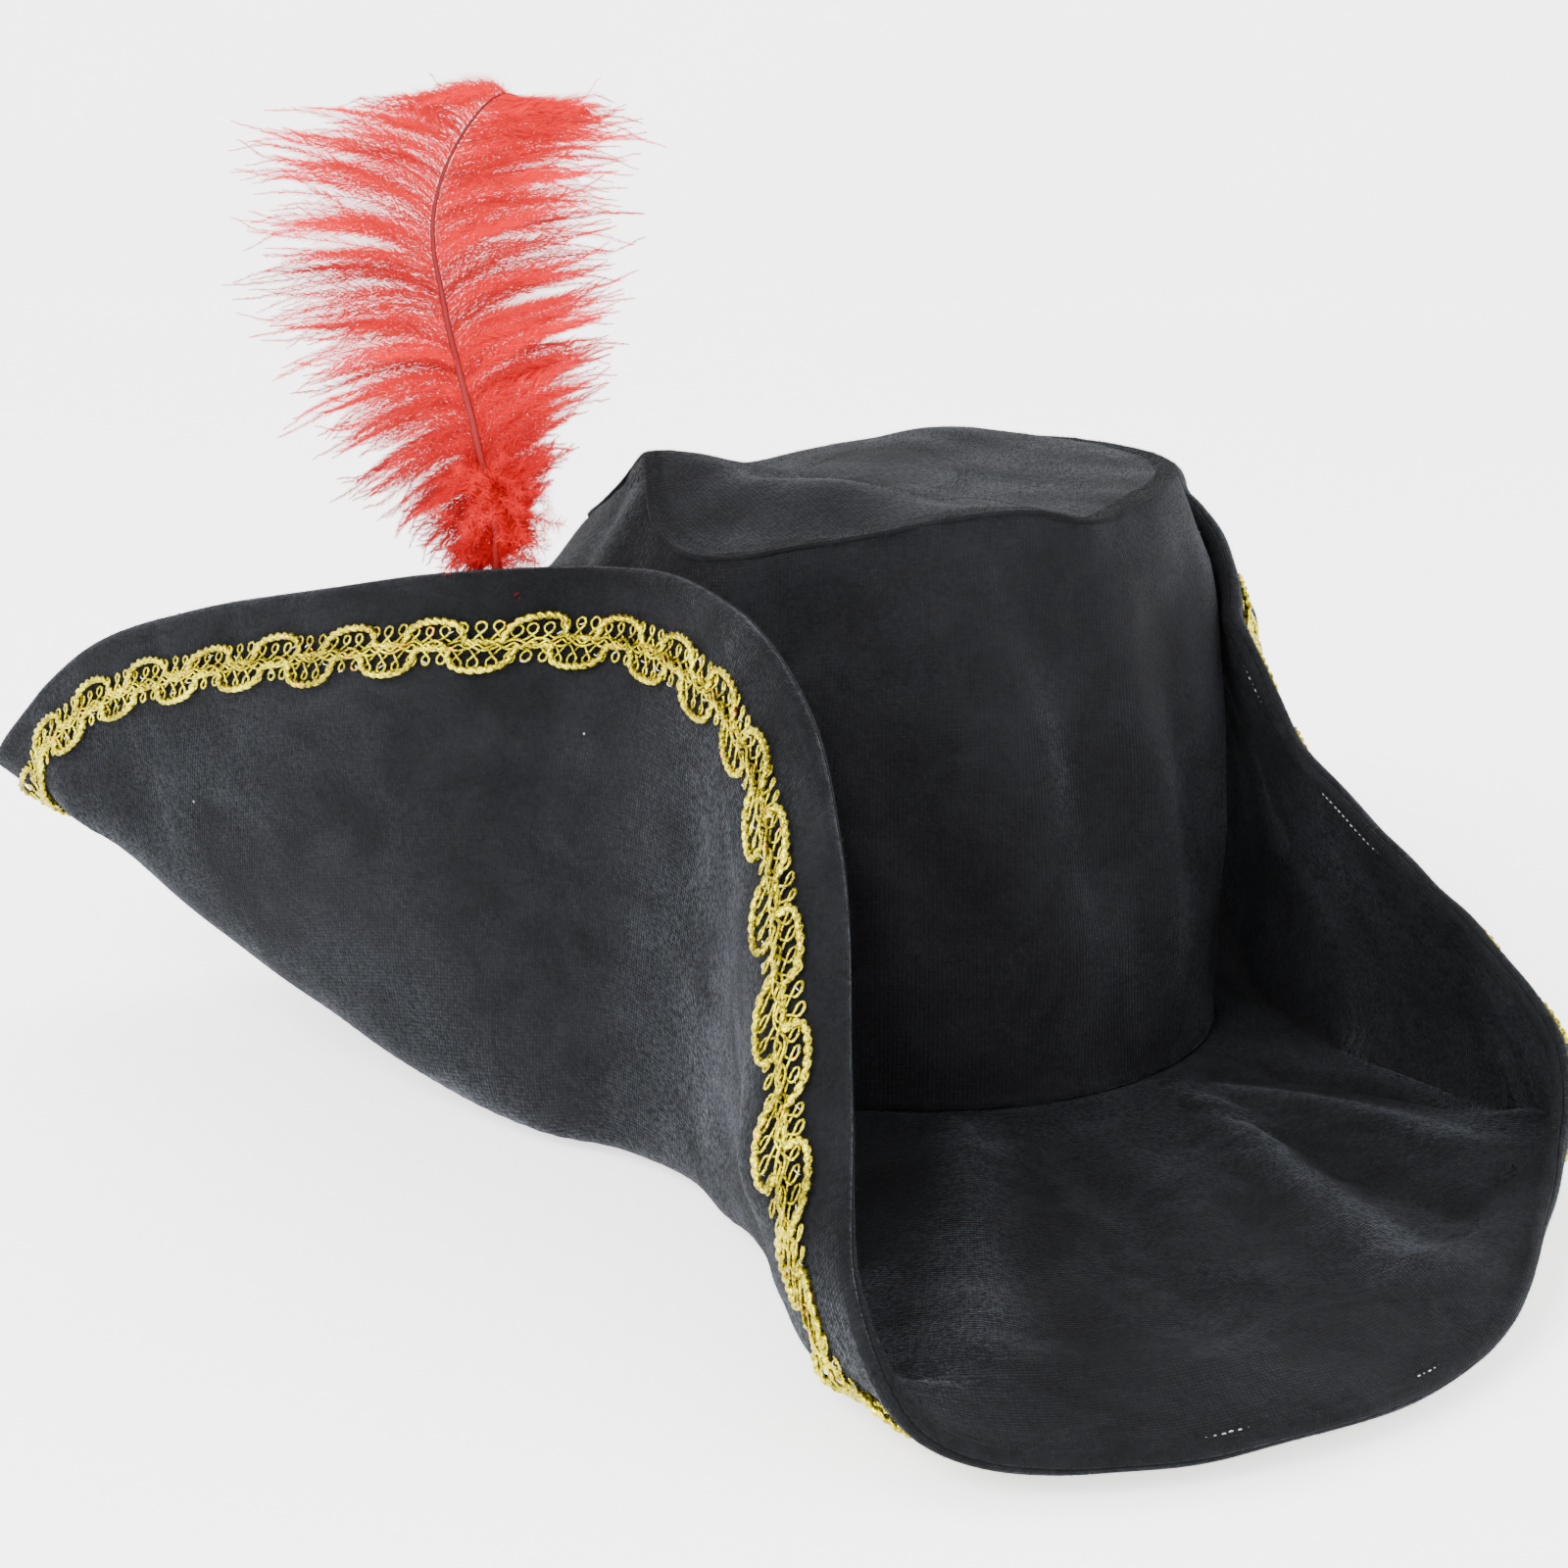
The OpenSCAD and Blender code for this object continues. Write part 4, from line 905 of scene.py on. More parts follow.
def dashes(centre, tang, nor, length, r, sides=6, rise=0.3):
    """short stitches: little arched tubes at centre points"""
    k = len(centre)
    s = np.array([-1, -0.6, 0, 0.6, 1.0])
    lift = np.array([-0.9, 0.35, 1, 0.35, -0.9]) * rise
    path = centre[:, None] + tang[:, None] * (s[None, :, None] * length / 2) + nor[:, None] * lift[None, :, None]
    rad = np.repeat((np.array([0.6, 0.95, 1, 0.95, 0.6]) * r)[None], k, 0)
    return tubes(path, rad, sides)


ns = 200
u = np.arange(ns) * 360 / ns
t = np.radians(u)
rs = oval_r(u) - 5.5
cs = np.stack([rs * np.cos(t), rs * np.sin(t), np.full(ns, z0 - 2.3)], -1)
cs += np.stack([np.cos(t), np.sin(t), 0 * t], -1) * (waves(cs, 20, 45, 62) * 0.45)[:, None]
tg = unit(np.roll(cs, -1, 0) - np.roll(cs, 1, 0))
no = -np.stack([np.cos(t), np.sin(t), 0 * t], -1)
pts, fs = dashes(cs, tg, no, 2.1, 0.24, 6, 0.22)
sst = make("sweatband_stitches", pts, fs, GREY_TH)
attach(sst, "hat"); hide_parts("sweatband_stitching")

# ------------------------------------------------------------------ lines along the rim
NB = NU
DD = np.arange(0, 34.01, 0.5)
RP, RN = rows_at(np.arange(NU), np.repeat(DD[None], NU, 0))
mid_line = RP[:, 36]
MARC = np.concatenate([[0], np.cumsum(np.linalg.norm(np.diff(np.vstack([mid_line, mid_line[:1]]), axis=0), axis=1))])
MLEN = MARC[-1]


def rim_at(a, d, off):
    """points on the brim: a mm along the braid's middle line, d mm in from the rim, off mm from the mid surface"""
    a = np.mod(a, MLEN)
    x = np.interp(a, MARC, np.arange(NU + 1))
    i = np.floor(x).astype(int)
    fx = (x - i)[..., None]
    i0, i1 = i % NU, (i + 1) % NU
    y = np.clip(d / 0.5, 0, len(DD) - 1.001)
    j = np.floor(y).astype(int)
    fy = (y - j)[..., None]

    def bil(G):
        return (G[i0, j] * (1 - fx) + G[i1, j] * fx) * (1 - fy) + (G[i0, j + 1] * (1 - fx) + G[i1, j + 1] * fx) * fy
    n = unit(bil(RN))
    return bil(RP) + n * np.asarray(off)[..., None], n


# hem stitches on the upper face
na = int(MLEN / 1.75)
aa = np.arange(na) / na * MLEN
rngh = np.random.default_rng(5)
aj = aa + rngh.uniform(-0.12, 0.12, na)
dj = 3.1 + rngh.uniform(-0.12, 0.12, na)
vis = smooth(waves(np.stack([aa, 0 * aa, 0 * aa], -1), 14, 50, 77), 0.35, 1.0) * rngh.uniform(0.5, 1.0, na)
offj = -(VOUT - 0.50 + 0.46 * vis)
cp, cn = rim_at(aj, dj, offj)
cp2, _ = rim_at(aj + 0.6, dj, offj)
pts, fs = dashes(cp, unit(cp2 - cp), -cn, 1.05, 0.14, 6, 0.18)
hem = make("hem_white_stitches", pts, fs, WHITE_TH)
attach(hem, "hat"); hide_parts("hem_stitching")

# ------------------------------------------------------------------ the braid
BM = 18.0
NP = 60
PITCH = MLEN / NP
BASE = VOUT + 0.35
rb = np.random.default_rng(11)
amp_j = 1 + rb.uniform(-0.10, 0.10, 2 * NP)
ph_j = rb.uniform(-0.035, 0.035, 2 * NP)
wid_j = 1 + rb.uniform(-0.12, 0.12, 2 * NP)


def thick(side):
    """path of the thick twisted cord of one side: a scallop, then back along the middle"""
    step = 0.36
    n = int(NP * 34 / step)
    # parameter runs evenly along the cord's own length
    q = np.linspace(0, 1, 400, endpoint=False)
    w = 0.5 + 0.10
    ph = np.where(q < w, q / w, (q - w) / (1 - w))
    x = np.where(q < w, -0.02 + (w + 0.04) * (ph + 0.10 * np.sin(2 * np.pi * ph) / 1.0 * -1), w + 0.02 + (1 - w - 0.04) * ph)
    y = np.where(q < w, 0.9 + 6.0 * np.clip(np.sin(np.pi * ph), 0, 1) ** 0.60, 0.9 - 0.2 * np.sin(np.pi * ph))
    z = np.where(q < w, 0.55 * np.sin(np.pi * ph) ** 0.5, -0.35 * np.sin(np.pi * ph))
    X = np.concatenate([x * PITCH + k * PITCH for k in range(NP)])
    Y = np.concatenate([(0.75 + (y - 0.75) * (amp_j[2 * k + (side > 0)])) for k in range(NP)])
    Z = np.concatenate([z for k in range(NP)])
    X = X + np.repeat([ph_j[2 * k + (side > 0)] * PITCH for k in range(NP)], 400) * np.tile(np.clip(np.sin(np.pi * np.clip(q / w, 0, 1)), 0, 1), NP)
    L = np.concatenate([[0], np.cumsum(np.hypot(np.diff(X), np.diff(Y)))])
    s = np.linspace(0, L[-1] + (L[1] - L[0]), n, endpoint=False)
    X, Y, Z = np.interp(s, L, X), np.interp(s, L, Y), np.interp(s, L, Z)
    X = X + (0.0 if side > 0 else PITCH / 2)
    off = BASE + 0.85 + Z + 0.12 * waves(np.stack([X, Y * side, 0 * X], -1), 7, 15, 91 + side)
    p, _ = rim_at(X, BM - side * Y, off)
    turns = s / 2.35 * math.pi
    return tubes(p[None], np.full((1, n), 0.82), 10, lobes=(0.46, turns[None]), closed=True)


pts, fs = thick(1)
outer = make("braid_outer_scallop_cord", pts, fs, GOLD)
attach(outer, "hat"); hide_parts("braid_outer_scallops")
pts, fs = thick(-1)
inner_b = make("braid_inner_scallop_cord", pts, fs, GOLD)
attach(inner_b, "hat"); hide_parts("braid_inner_scallops")


def loops(side):
    """thin cord that runs along the middle and throws six eyes to its side in each pitch"""
    per = 6
    nl = NP * per
    m = 24
    n = nl * m
    tau = np.arange(n) / m
    k = tau.astype(int)
    r = np.random.default_rng(30 + side)
    jx = r.uniform(-0.35, 0.35, nl)
    jr = 1 + r.uniform(-0.12, 0.12, nl)
    s = PITCH / per
    kc_ = (np.arange(nl) + 0.5)
    phase = (kc_ / per + (0.0 if side > 0 else 0.5)) % 1.0
    inside = (np.cos(2 * np.pi * (phase - 0.30)) > 0.0).astype(float)
    reach = 6.0 - 1.1 * inside + r.uniform(-0.25, 0.25, nl)
    rad = 1.30 * jr
    # each eye: in along one side, round the eye, back across itself to the middle
    fr = tau - k
    th = np.radians(np.interp(fr, [0.24, 0.76], [-55, 235]))
    yc = (reach - rad)[k]
    R = rad[k]
    ex = R * np.cos(th)
    ey = yc + R * np.sin(th)
    # legs: smooth lines from the middle to the foot of the eye, crossing under it
    def leg(t, x1, y1, tx, ty, x0, y0):
        h00, h10 = (1 + 2 * t) * (1 - t) ** 2, t * (1 - t) ** 2
        h01, h11 = t * t * (3 - 2 * t), t * t * (t - 1)
        return h00 * x0 + h10 * 2.6 + h01 * x1 + h11 * tx, h00 * y0 + h10 * 0.1 + h01 * y1 + h11 * ty
    c55, s55 = math.cos(math.radians(-55)), math.sin(math.radians(-55))
    t1 = np.clip(fr / 0.24, 0, 1)
    lx, ly = leg(t1, R * c55, yc + R * s55, 2.4 * -s55, 2.4 * c55, -s / 2, 0.75)
    t2 = np.clip((1 - fr) / 0.24, 0, 1)
    rx, ry = leg(t2, R * c55, yc + R * s55, 2.4 * -s55, 2.4 * c55, -s / 2, 0.75)
    x = np.where(fr < 0.24, lx, np.where(fr > 0.76, -rx, ex))
    y = np.where(fr < 0.24, ly, np.where(fr > 0.76, ry, ey))
    xk = (k + 0.5) * s + jx[k] * np.sin(np.pi * fr) ** 2
    z = 0.36 * np.sin(2 * np.pi * fr) + 0.30 * (1 - inside[k]) * np.sin(np.pi * fr) ** 2
    X = xk + x + (0.0 if side > 0 else PITCH / 2)
    off = BASE + 0.55 + z + 0.08 * waves(np.stack([X, y * side, 0 * X], -1), 5, 12, 95 + side)
    p, _ = rim_at(X, BM - side * y, off)
    return tubes(p[None], np.full((1, n), 0.36) * (1 + 0.12 * np.sin(np.arange(n) * 2.1))[None], 5, closed=True)


pts, fs = join([loops(1), loops(-1)])
lace = make("braid_thin_loop_cords", pts, fs, GOLD2)
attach(lace, "hat"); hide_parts("braid_loop_lace")


def chain(phase, amp, per_pitch, r, off0, zamp, seed):
    n = int(MLEN / 0.5)
    a = np.arange(n) / n * MLEN
    w = 2 * np.pi * a / PITCH * per_pitch + phase
    y = amp * np.sin(w)
    off = BASE + off0 + zamp * np.cos(w) + 0.08 * waves(np.stack([a, y, 0 * a], -1), 5, 12, seed)
    p, _ = rim_at(a, BM + y, off)
    return tubes(p[None], np.full((1, n), r), 6, closed=True)


pts, fs = join([chain(0.4, 1.25, 2, 0.36, 1.2, 0.42, 97), chain(0.4 + math.pi, 1.25, 2, 0.36, 1.2, 0.42, 98), chain(1.1, 0.55, 6, 0.30, 1.75, 0.2, 99)])
chn = make("braid_centre_crossing_cords", pts, fs, GOLD)
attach(chn, "hat"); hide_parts("braid_centre_chain")

# bits of sewing thread across the braid
nb_ = NP * 4
rt = np.random.default_rng(17)
ab = (np.arange(nb_) + rt.uniform(-0.2, 0.2, nb_)) / nb_ * MLEN
yb = rt.choice([-1, 1], nb_) * rt.uniform(2.2, 4.8, nb_)
cb, nb2 = rim_at(ab, BM + yb, np.full(nb_, BASE + 0.95))
cb2, _ = rim_at(ab + 0.5, BM + yb + rt.uniform(-0.4, 0.4, nb_), np.full(nb_, BASE + 0.95))
pts, fs = dashes(cb, unit(cb2 - cb), nb2, 1.7, 0.13, 5, 0.45)
sew = make("braid_sewing_thread", pts, fs, WHITE_TH)
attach(sew, "hat")


# ------------------------------------------------------------------ tacks
def nearest_brim(q):
    """closest point of the brim's mid surface and its normal"""
    d = np.sum((P - q) ** 2, -1)
    i = np.unravel_index(np.argmin(d), d.shape)
    return P[i], N[i]


def crown_near(u, z):
    i = int(round(u / 360 * NCU)) % NCU
    j = int(np.argmin(np.abs(C1[i, :, 2] - z)))
    return C1[i, j], NC0[i, j]


def tack_piece(name, nodename, u, z):
    t = math.radians(u)
    a, na_ = crown_near(u, z)
    q, nq = nearest_brim(a + np.array([math.cos(t), math.sin(t), 0]) * 14 + np.array([0, 0, -1]))
    b = q - nq * (VOUT - 0.3)
    a = a - na_ * 0.3
    strands = []
    rg = np.random.default_rng(int(u))
    s = np.linspace(0, 1, 14)
    for k in range(4):
        oa = np.array([0, 0, (k - 1.5) * 0.9]) + rg.normal(size=3) * 0.15
        ob_ = np.array([0, 0, (k - 1.5) * 0.8]) + rg.normal(size=3) * 0.15
        pa = a + oa
        pb = b + ob_
        line = pa + (pb - pa) * s[:, None] + np.array([0, 0, -1]) * (np.sin(s * math.pi) * 0.35)[:, None]
        strands.append(line)
    strands = np.array(strands)
    p1 = tubes(strands, np.full((4, 14), 0.24), 6)
    # cross-stitches on the crown
    tt = np.array([-math.sin(t), math.cos(t), 0])
    cc = np.array([a + na_ * 0.5 + tt * 0.1, b - (b - a) * 0.03])
    p2 = dashes(cc, np.array([tt, tt]), np.array([na_, -nq]), 2.4, 0.24, 6, 0.4)
    ob = make(name, *join([p1, p2]), BLACK_TH)
    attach(ob, "hat"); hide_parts(nodename)
    return ob


tack_piece("left_flap_tack_thread", "left_flap_tack", 209, 142)
tack_piece("right_flap_tack_thread", "right_flap_tack", 344, 140)
tack_piece("rear_flap_tack_thread", "rear_flap_tack", 90, 118)

# ------------------------------------------------------------------ the plume
PA = math.radians(-25)
PX = np.array([math.cos(PA), math.sin(PA), 0])
PY = np.array([-math.sin(PA), math.cos(PA), 0])
PB = np.array([-117.0, -26.0, 0])


def plume(a, b, z):
    a, b, z = (np.asarray(v, float)[..., None] for v in (a, b, z))
    return PB + PX * a + PY * b + np.array([0, 0, 1.0]) * z


# shaft: height, sideways, backwards, radius
SH = np.array([[98, 6, 4, 1.3], [110, 5, 3, 1.32], [122, 3.5, 2, 1.3], [133, 2.3, .8, 1.28], [142, 1.5, 0, 1.25], [150, 1.0, 0, 1.2], [158, 1.0, 0, 1.1], [168.7, -.8, 0, 1.03],
               [176, -2.4, 0, .98], [184.9, -4.2, .4, .92], [192, -6.0, .8, .88], [199.3, -7.7, 1.0, .82], [206.5, -9.3, 1.4, .77], [213.5, -10.5, 2, .70], [222.9, -12.2, 2.8, .62], [229.9, -12.3, 3.4, .56],
               [238.5, -10.6, 4.6, .48], [246.1, -7.4, 6.3, .42], [253, -3.0, 8.4, .35], [257.3, 1.0, 10, .29], [259, 4.5, 11.5, .22], [258.5, 7.5, 12.6, .15]])
sl = np.concatenate([[0], np.cumsum(np.linalg.norm(np.diff(SH[:, :3], axis=0), axis=1))])
ss = np.linspace(0, sl[-1], 400)


def catmull(x, xs, ys):
    m = np.gradient(ys, xs)
    k = np.clip(np.searchsorted(xs, x, side="right") - 1, 0, len(xs) - 2)
    h = xs[k + 1] - xs[k]
    t = (x - xs[k]) / h
    return (1 + 2 * t) * (1 - t) ** 2 * ys[k] + t * (1 - t) ** 2 * h * m[k] + t * t * (3 - 2 * t) * ys[k + 1] + t * t * (t - 1) * h * m[k + 1]


RZ, RA, RB, RR = (catmull(ss, sl, SH[:, c]) for c in range(4))
RACH = plume(RA, RB, RZ)
RT_ = unit(np.gradient(RACH, axis=0))
split = int(np.argmin(np.abs(RZ[:350] - 199.6)))


def shaft_piece(name, i0, i1, nodename, body):
    line = RACH[i0:i1]
    rad = RR[i0:i1].copy()
    n = len(line)
    # closed ends, the radius wobbling a little by seeded waves
    pts, fs = tubes(line[None], rad[None], 12)
    seedv = waves(pts, 6, 16, 51)
    c = np.repeat(line, 12, 0)
    pts = c + (pts - c) * (1 + 0.05 * seedv)[:, None]
    tone = 0.45 + 0.35 * smooth(pts[:, 2], 150, 250) + 0.1 * seedv
    ob = make(name, pts, fs, SHAFT, attr={"tone": np.clip(tone, 0, 1)})
    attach(ob, body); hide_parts(nodename)
    return ob


shaft_piece("plume_quill", 0, split + 1, "quill", "plume_lower")
shaft_piece("plume_upper_shaft", split - 1, len(ss), "upper_shaft", "plume_tip")

# outline of the vane: length and direction (degrees above level) from a barb's root to its end, by height along the shaft
LZ = np.array([150, 156, 162, 168, 176, 185, 192, 199, 206, 214, 222, 230, 238, 246, 253, 257.5])
LLEN = np.array([13, 17, 22, 26, 31.5, 37, 42, 46, 48, 48.5, 48.5, 48, 42, 34, 25, 17])
LANG = np.array([-34, -31, -28, -25, -21, -15, -9, -4, 1, 6, 10, 15, 22, 20, 13, 6])
RLEN = np.array([12, 17, 23, 30, 36, 39.5, 42, 44, 46, 47, 48, 49, 48, 45, 37, 28])
RANG = np.array([40, 39, 38, 36, 33, 29, 25, 22, 20, 18, 16, 13, 10, 6, 1, -7])
zshaft = np.maximum.accumulate(RZ)


def feather_side(side, z_lo, z_hi, count, seed, per_mm, wisp=4):
    """barbs with their barbules on one side of the shaft between two heights; returns points, faces, tone"""
    r = np.random.default_rng(seed)
    n_seg = 20
    i_lo, i_hi = np.searchsorted(zshaft, z_lo), min(np.searchsorted(zshaft, z_hi), len(ss) - 1)
    if z_hi > 258:
        i_hi = len(ss) - 2
    step = (i_hi - i_lo) / count
    idx = i_lo + (np.arange(count) + 0.5) * step + r.uniform(-0.22, 0.22, count) * step
    root = np.stack([np.interp(idx, np.arange(len(ss)), RACH[:, c]) for c in range(3)], -1)
    tan = unit(np.stack([np.interp(idx, np.arange(len(ss)), RT_[:, c]) for c in range(3)], -1))
    # wisps of a few neighbouring barbs share their end
    cuts, k = [], 0
    while k < count:
        cuts.append(k)
        k += int(r.integers(1, wisp + 1))
    wid = np.searchsorted(np.array(cuts), np.arange(count), side="right") - 1
    nw = len(cuts)
    mid_i = np.array([idx[wid == w].mean() for w in range(nw)])
    zz = np.interp(mid_i, np.arange(len(ss)), RZ)
    over = np.clip((mid_i - np.argmax(RZ)) / max(1, len(ss) - np.argmax(RZ)), 0, 1)
    tab = (LLEN, LANG) if side < 0 else (RLEN, RANG)
    wl = np.interp(zz, LZ, tab[0]) * (1 + r.uniform(-0.24, 0.09, nw)) * (1 - 0.35 * over)
    wa = np.interp(zz, LZ, tab[1]) + r.normal(0, 4.2, nw) - 30 * over
    wa = np.where(zz > 250, np.minimum(wa, np.interp(zz, [250, 259], [14, 3])), wa)
    wy = r.normal(0, 4.5, nw) + (8 if side > 0 else -3)
    # a few strays of their own
    stray = r.random(count) < 0.10
    own = np.interp(root[:, 2], LZ, tab[1]) - 30 * np.interp(over, [0, 1], [0, 1])[wid]
    ang = 0.42 * wa[wid] + 0.58 * own + np.where(stray, r.normal(0, 11, count), r.normal(0, 3.4, count))
    ang = np.where(root[:, 2] > 246, np.minimum(ang, np.interp(root[:, 2], [246, 259], [24, 5])), ang)
    length = wl[wid] * np.where(stray, r.uniform(0.75, 1.06, count), 1 + r.uniform(-0.20, 0.05, count))
    yaw = wy[wid] + np.where(stray, r.normal(0, 14, count), r.normal(0, 4.0, count))
    mid_root = np.stack([np.interp(mid_i, np.arange(len(ss)), RACH[:, c]) for c in range(3)], -1)[wid]
    a_, y_ = np.radians(ang), np.radians(yaw)
    d = (PX * (side * np.cos(a_) * np.cos(y_))[:, None] + np.array([0, 0, 1.0]) * (np.sin(a_) * np.cos(y_))[:, None] + PY * np.sin(y_)[:, None])
    end = np.where(stray[:, None], root, 0.35 * mid_root + 0.65 * root) + d * length[:, None]
    # leave the shaft leaning up it, and bend over to the end
    L = np.linalg.norm(end - root, axis=1)
    out = unit(end - root)
    out0 = unit(out - tan * np.sum(out * tan, -1, keepdims=True))
    lean = np.radians(np.interp(root[:, 2], [150, 185, 230, 257], [38, 40, 47, 52]) * (0.9 if side < 0 else 1.0))
    d0 = unit(tan * np.cos(lean)[:, None] + out0 * np.sin(lean)[:, None])
    c1 = root + d0 * (L * 0.30)[:, None]
    tipdir = unit(out + np.array([0, 0, -1.0]) * r.uniform(-0.05, 0.40, count)[:, None] + PY * r.normal(0, 0.15, count)[:, None])
    c2 = end - tipdir * (L * 0.30)[:, None]
    s = np.linspace(0, 1, n_seg)
    S = s[None, :, None]
    path = root[:, None] * (1 - S) ** 3 + c1[:, None] * 3 * S * (1 - S) ** 2 + c2[:, None] * 3 * S * S * (1 - S) + end[:, None] * S ** 3
    wob = np.sin(S * r.uniform(5, 9, count)[:, None, None] + r.uniform(0, 6, count)[:, None, None]) * S * (1 - S) * 2.2
    path = path + np.cross(out, PY)[:, None] * wob * r.normal(0.3, 0.5, count)[:, None, None]
    curl = r.normal(0, 1.6, count)[:, None, None] * smooth(S, 0.75, 1.0) ** 2
    path = path + np.cross(out, PY)[:, None] * curl
    dirs = unit(np.gradient(path, axis=1))
    rad = np.interp(s, [0, 0.15, 0.7, 1], [0.17, 0.125, 0.08, 0.03])[None].repeat(count, 0) * r.uniform(0.85, 1.15, count)[:, None]
    pts, fs = tubes(path, rad, 3)
    fs = [np.concatenate([q for q in fs if q.shape[1] == 4])]
    tone_b = 0.40 + 0.20 * r.normal(size=count) + 0.08 * r.normal(size=nw)[wid]
    tone = np.repeat((tone_b[:, None] + 0.06 * s[None]), 3, -1).ravel()
    # barbules: fine bent hairs on both sides of every barb
    nb = np.maximum((length * per_mm).astype(int), 8)
    tot = int(nb.sum())
    who = np.repeat(np.arange(count), nb)
    pos = (np.concatenate([np.arange(k) for k in nb]) + r.uniform(0, 1, tot)) / nb[who]
    pos = 0.015 + 0.985 * pos ** 1.12
    x = pos * (n_seg - 1)
    k0 = np.clip(np.floor(x).astype(int), 0, n_seg - 2)
    fx = (x - k0)[:, None]
    pr = path[who, k0] * (1 - fx) + path[who, k0 + 1] * fx
    td = unit(dirs[who, k0])
    sidev = unit(np.cross(td, PY[None] + 0.30 * r.normal(size=(tot, 3))))
    sg = r.choice([-1.0, 1.0], tot)
    spread = np.radians(r.normal(1, 1, tot) * 0 + np.interp(pos, [0, 0.3, 1], [40, 34, 26]) + r.normal(0, 9, tot))
    o_ = td * np.cos(spread)[:, None] + sidev * (np.sin(spread) * sg)[:, None] + PY[None] * r.normal(0, 0.30, tot)[:, None]
    o_ = unit(o_)
    reach = np.interp(root[who, 2], [150, 185, 259], [1.2, 1.08, 1.0]) * (1.10 if side > 0 else 1.06)
    bl = np.interp(pos, [0, 0.10, 0.25, 0.50, 0.70, 0.88, 1.0], [1.2, 2.4, 3.6, 3.7, 2.2, 1.0, 0.45]) * r.uniform(0.6, 1.3, tot) * reach
    droop = unit(o_ * 0.7 + td * 0.8 + r.normal(0, 0.16, (tot, 3)))
    p1 = pr + o_ * (bl * 0.55)[:, None]
    p2 = p1 + droop * (bl * 0.5)[:, None]
    wv = unit(np.cross(o_, r.normal(size=(tot, 3))))
    w0 = 0.056
    quad = np.stack([pr - wv * w0, pr + wv * w0, p1 + wv * w0 * 0.8, p1 - wv * w0 * 0.8, p2], 1)
    o = len(pts)
    ib = np.arange(tot) * 5 + o
    fq = np.stack([ib, ib + 1, ib + 2, ib + 3], -1)
    ft = np.stack([ib + 3, ib + 2, ib + 4], -1)
    tone2 = np.repeat(np.clip(0.50 + (tone_b[who] - 0.40) * 0.9 + 0.12 * r.normal(size=tot) + 0.10 * pos, 0.05, 1), 5)
    return np.concatenate([pts, quad.reshape(-1, 3)]), [np.concatenate([fs[0], fq]), ft], np.concatenate([tone, tone2])


def barbs(name, side, z0_, z1_, count, seed, step, nodename, body, mat=None):
    pts, fs, tone = feather_side(side, z0_, z1_, count, seed, step)
    # deeper red towards the foot of the plume
    tone = tone * (0.35 + 0.65 * smooth(pts[:, 2], 150, 195)) + 0.10 * smooth(pts[:, 2], 205, 250)
    ob = make(name, pts, fs, mat or RED_L, attr={"tone": np.clip(tone, 0, 1)})
    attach(ob, body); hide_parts(nodename)
    return ob


barbs("plume_lower_barbs_left", -1, 149, 199.4, 104, 101, 14.0, "lower_barbs_left", "plume_lower")
barbs("plume_lower_barbs_right", 1, 149, 199.4, 112, 102, 13.0, "lower_barbs_right", "plume_lower")
barbs("plume_upper_barbs_left", -1, 199.8, 259, 124, 103, 10.5, "upper_barbs_left", "plume_tip")
barbs("plume_upper_barbs_right", 1, 199.8, 259, 124, 104, 10.5, "upper_barbs_right", "plume_tip")


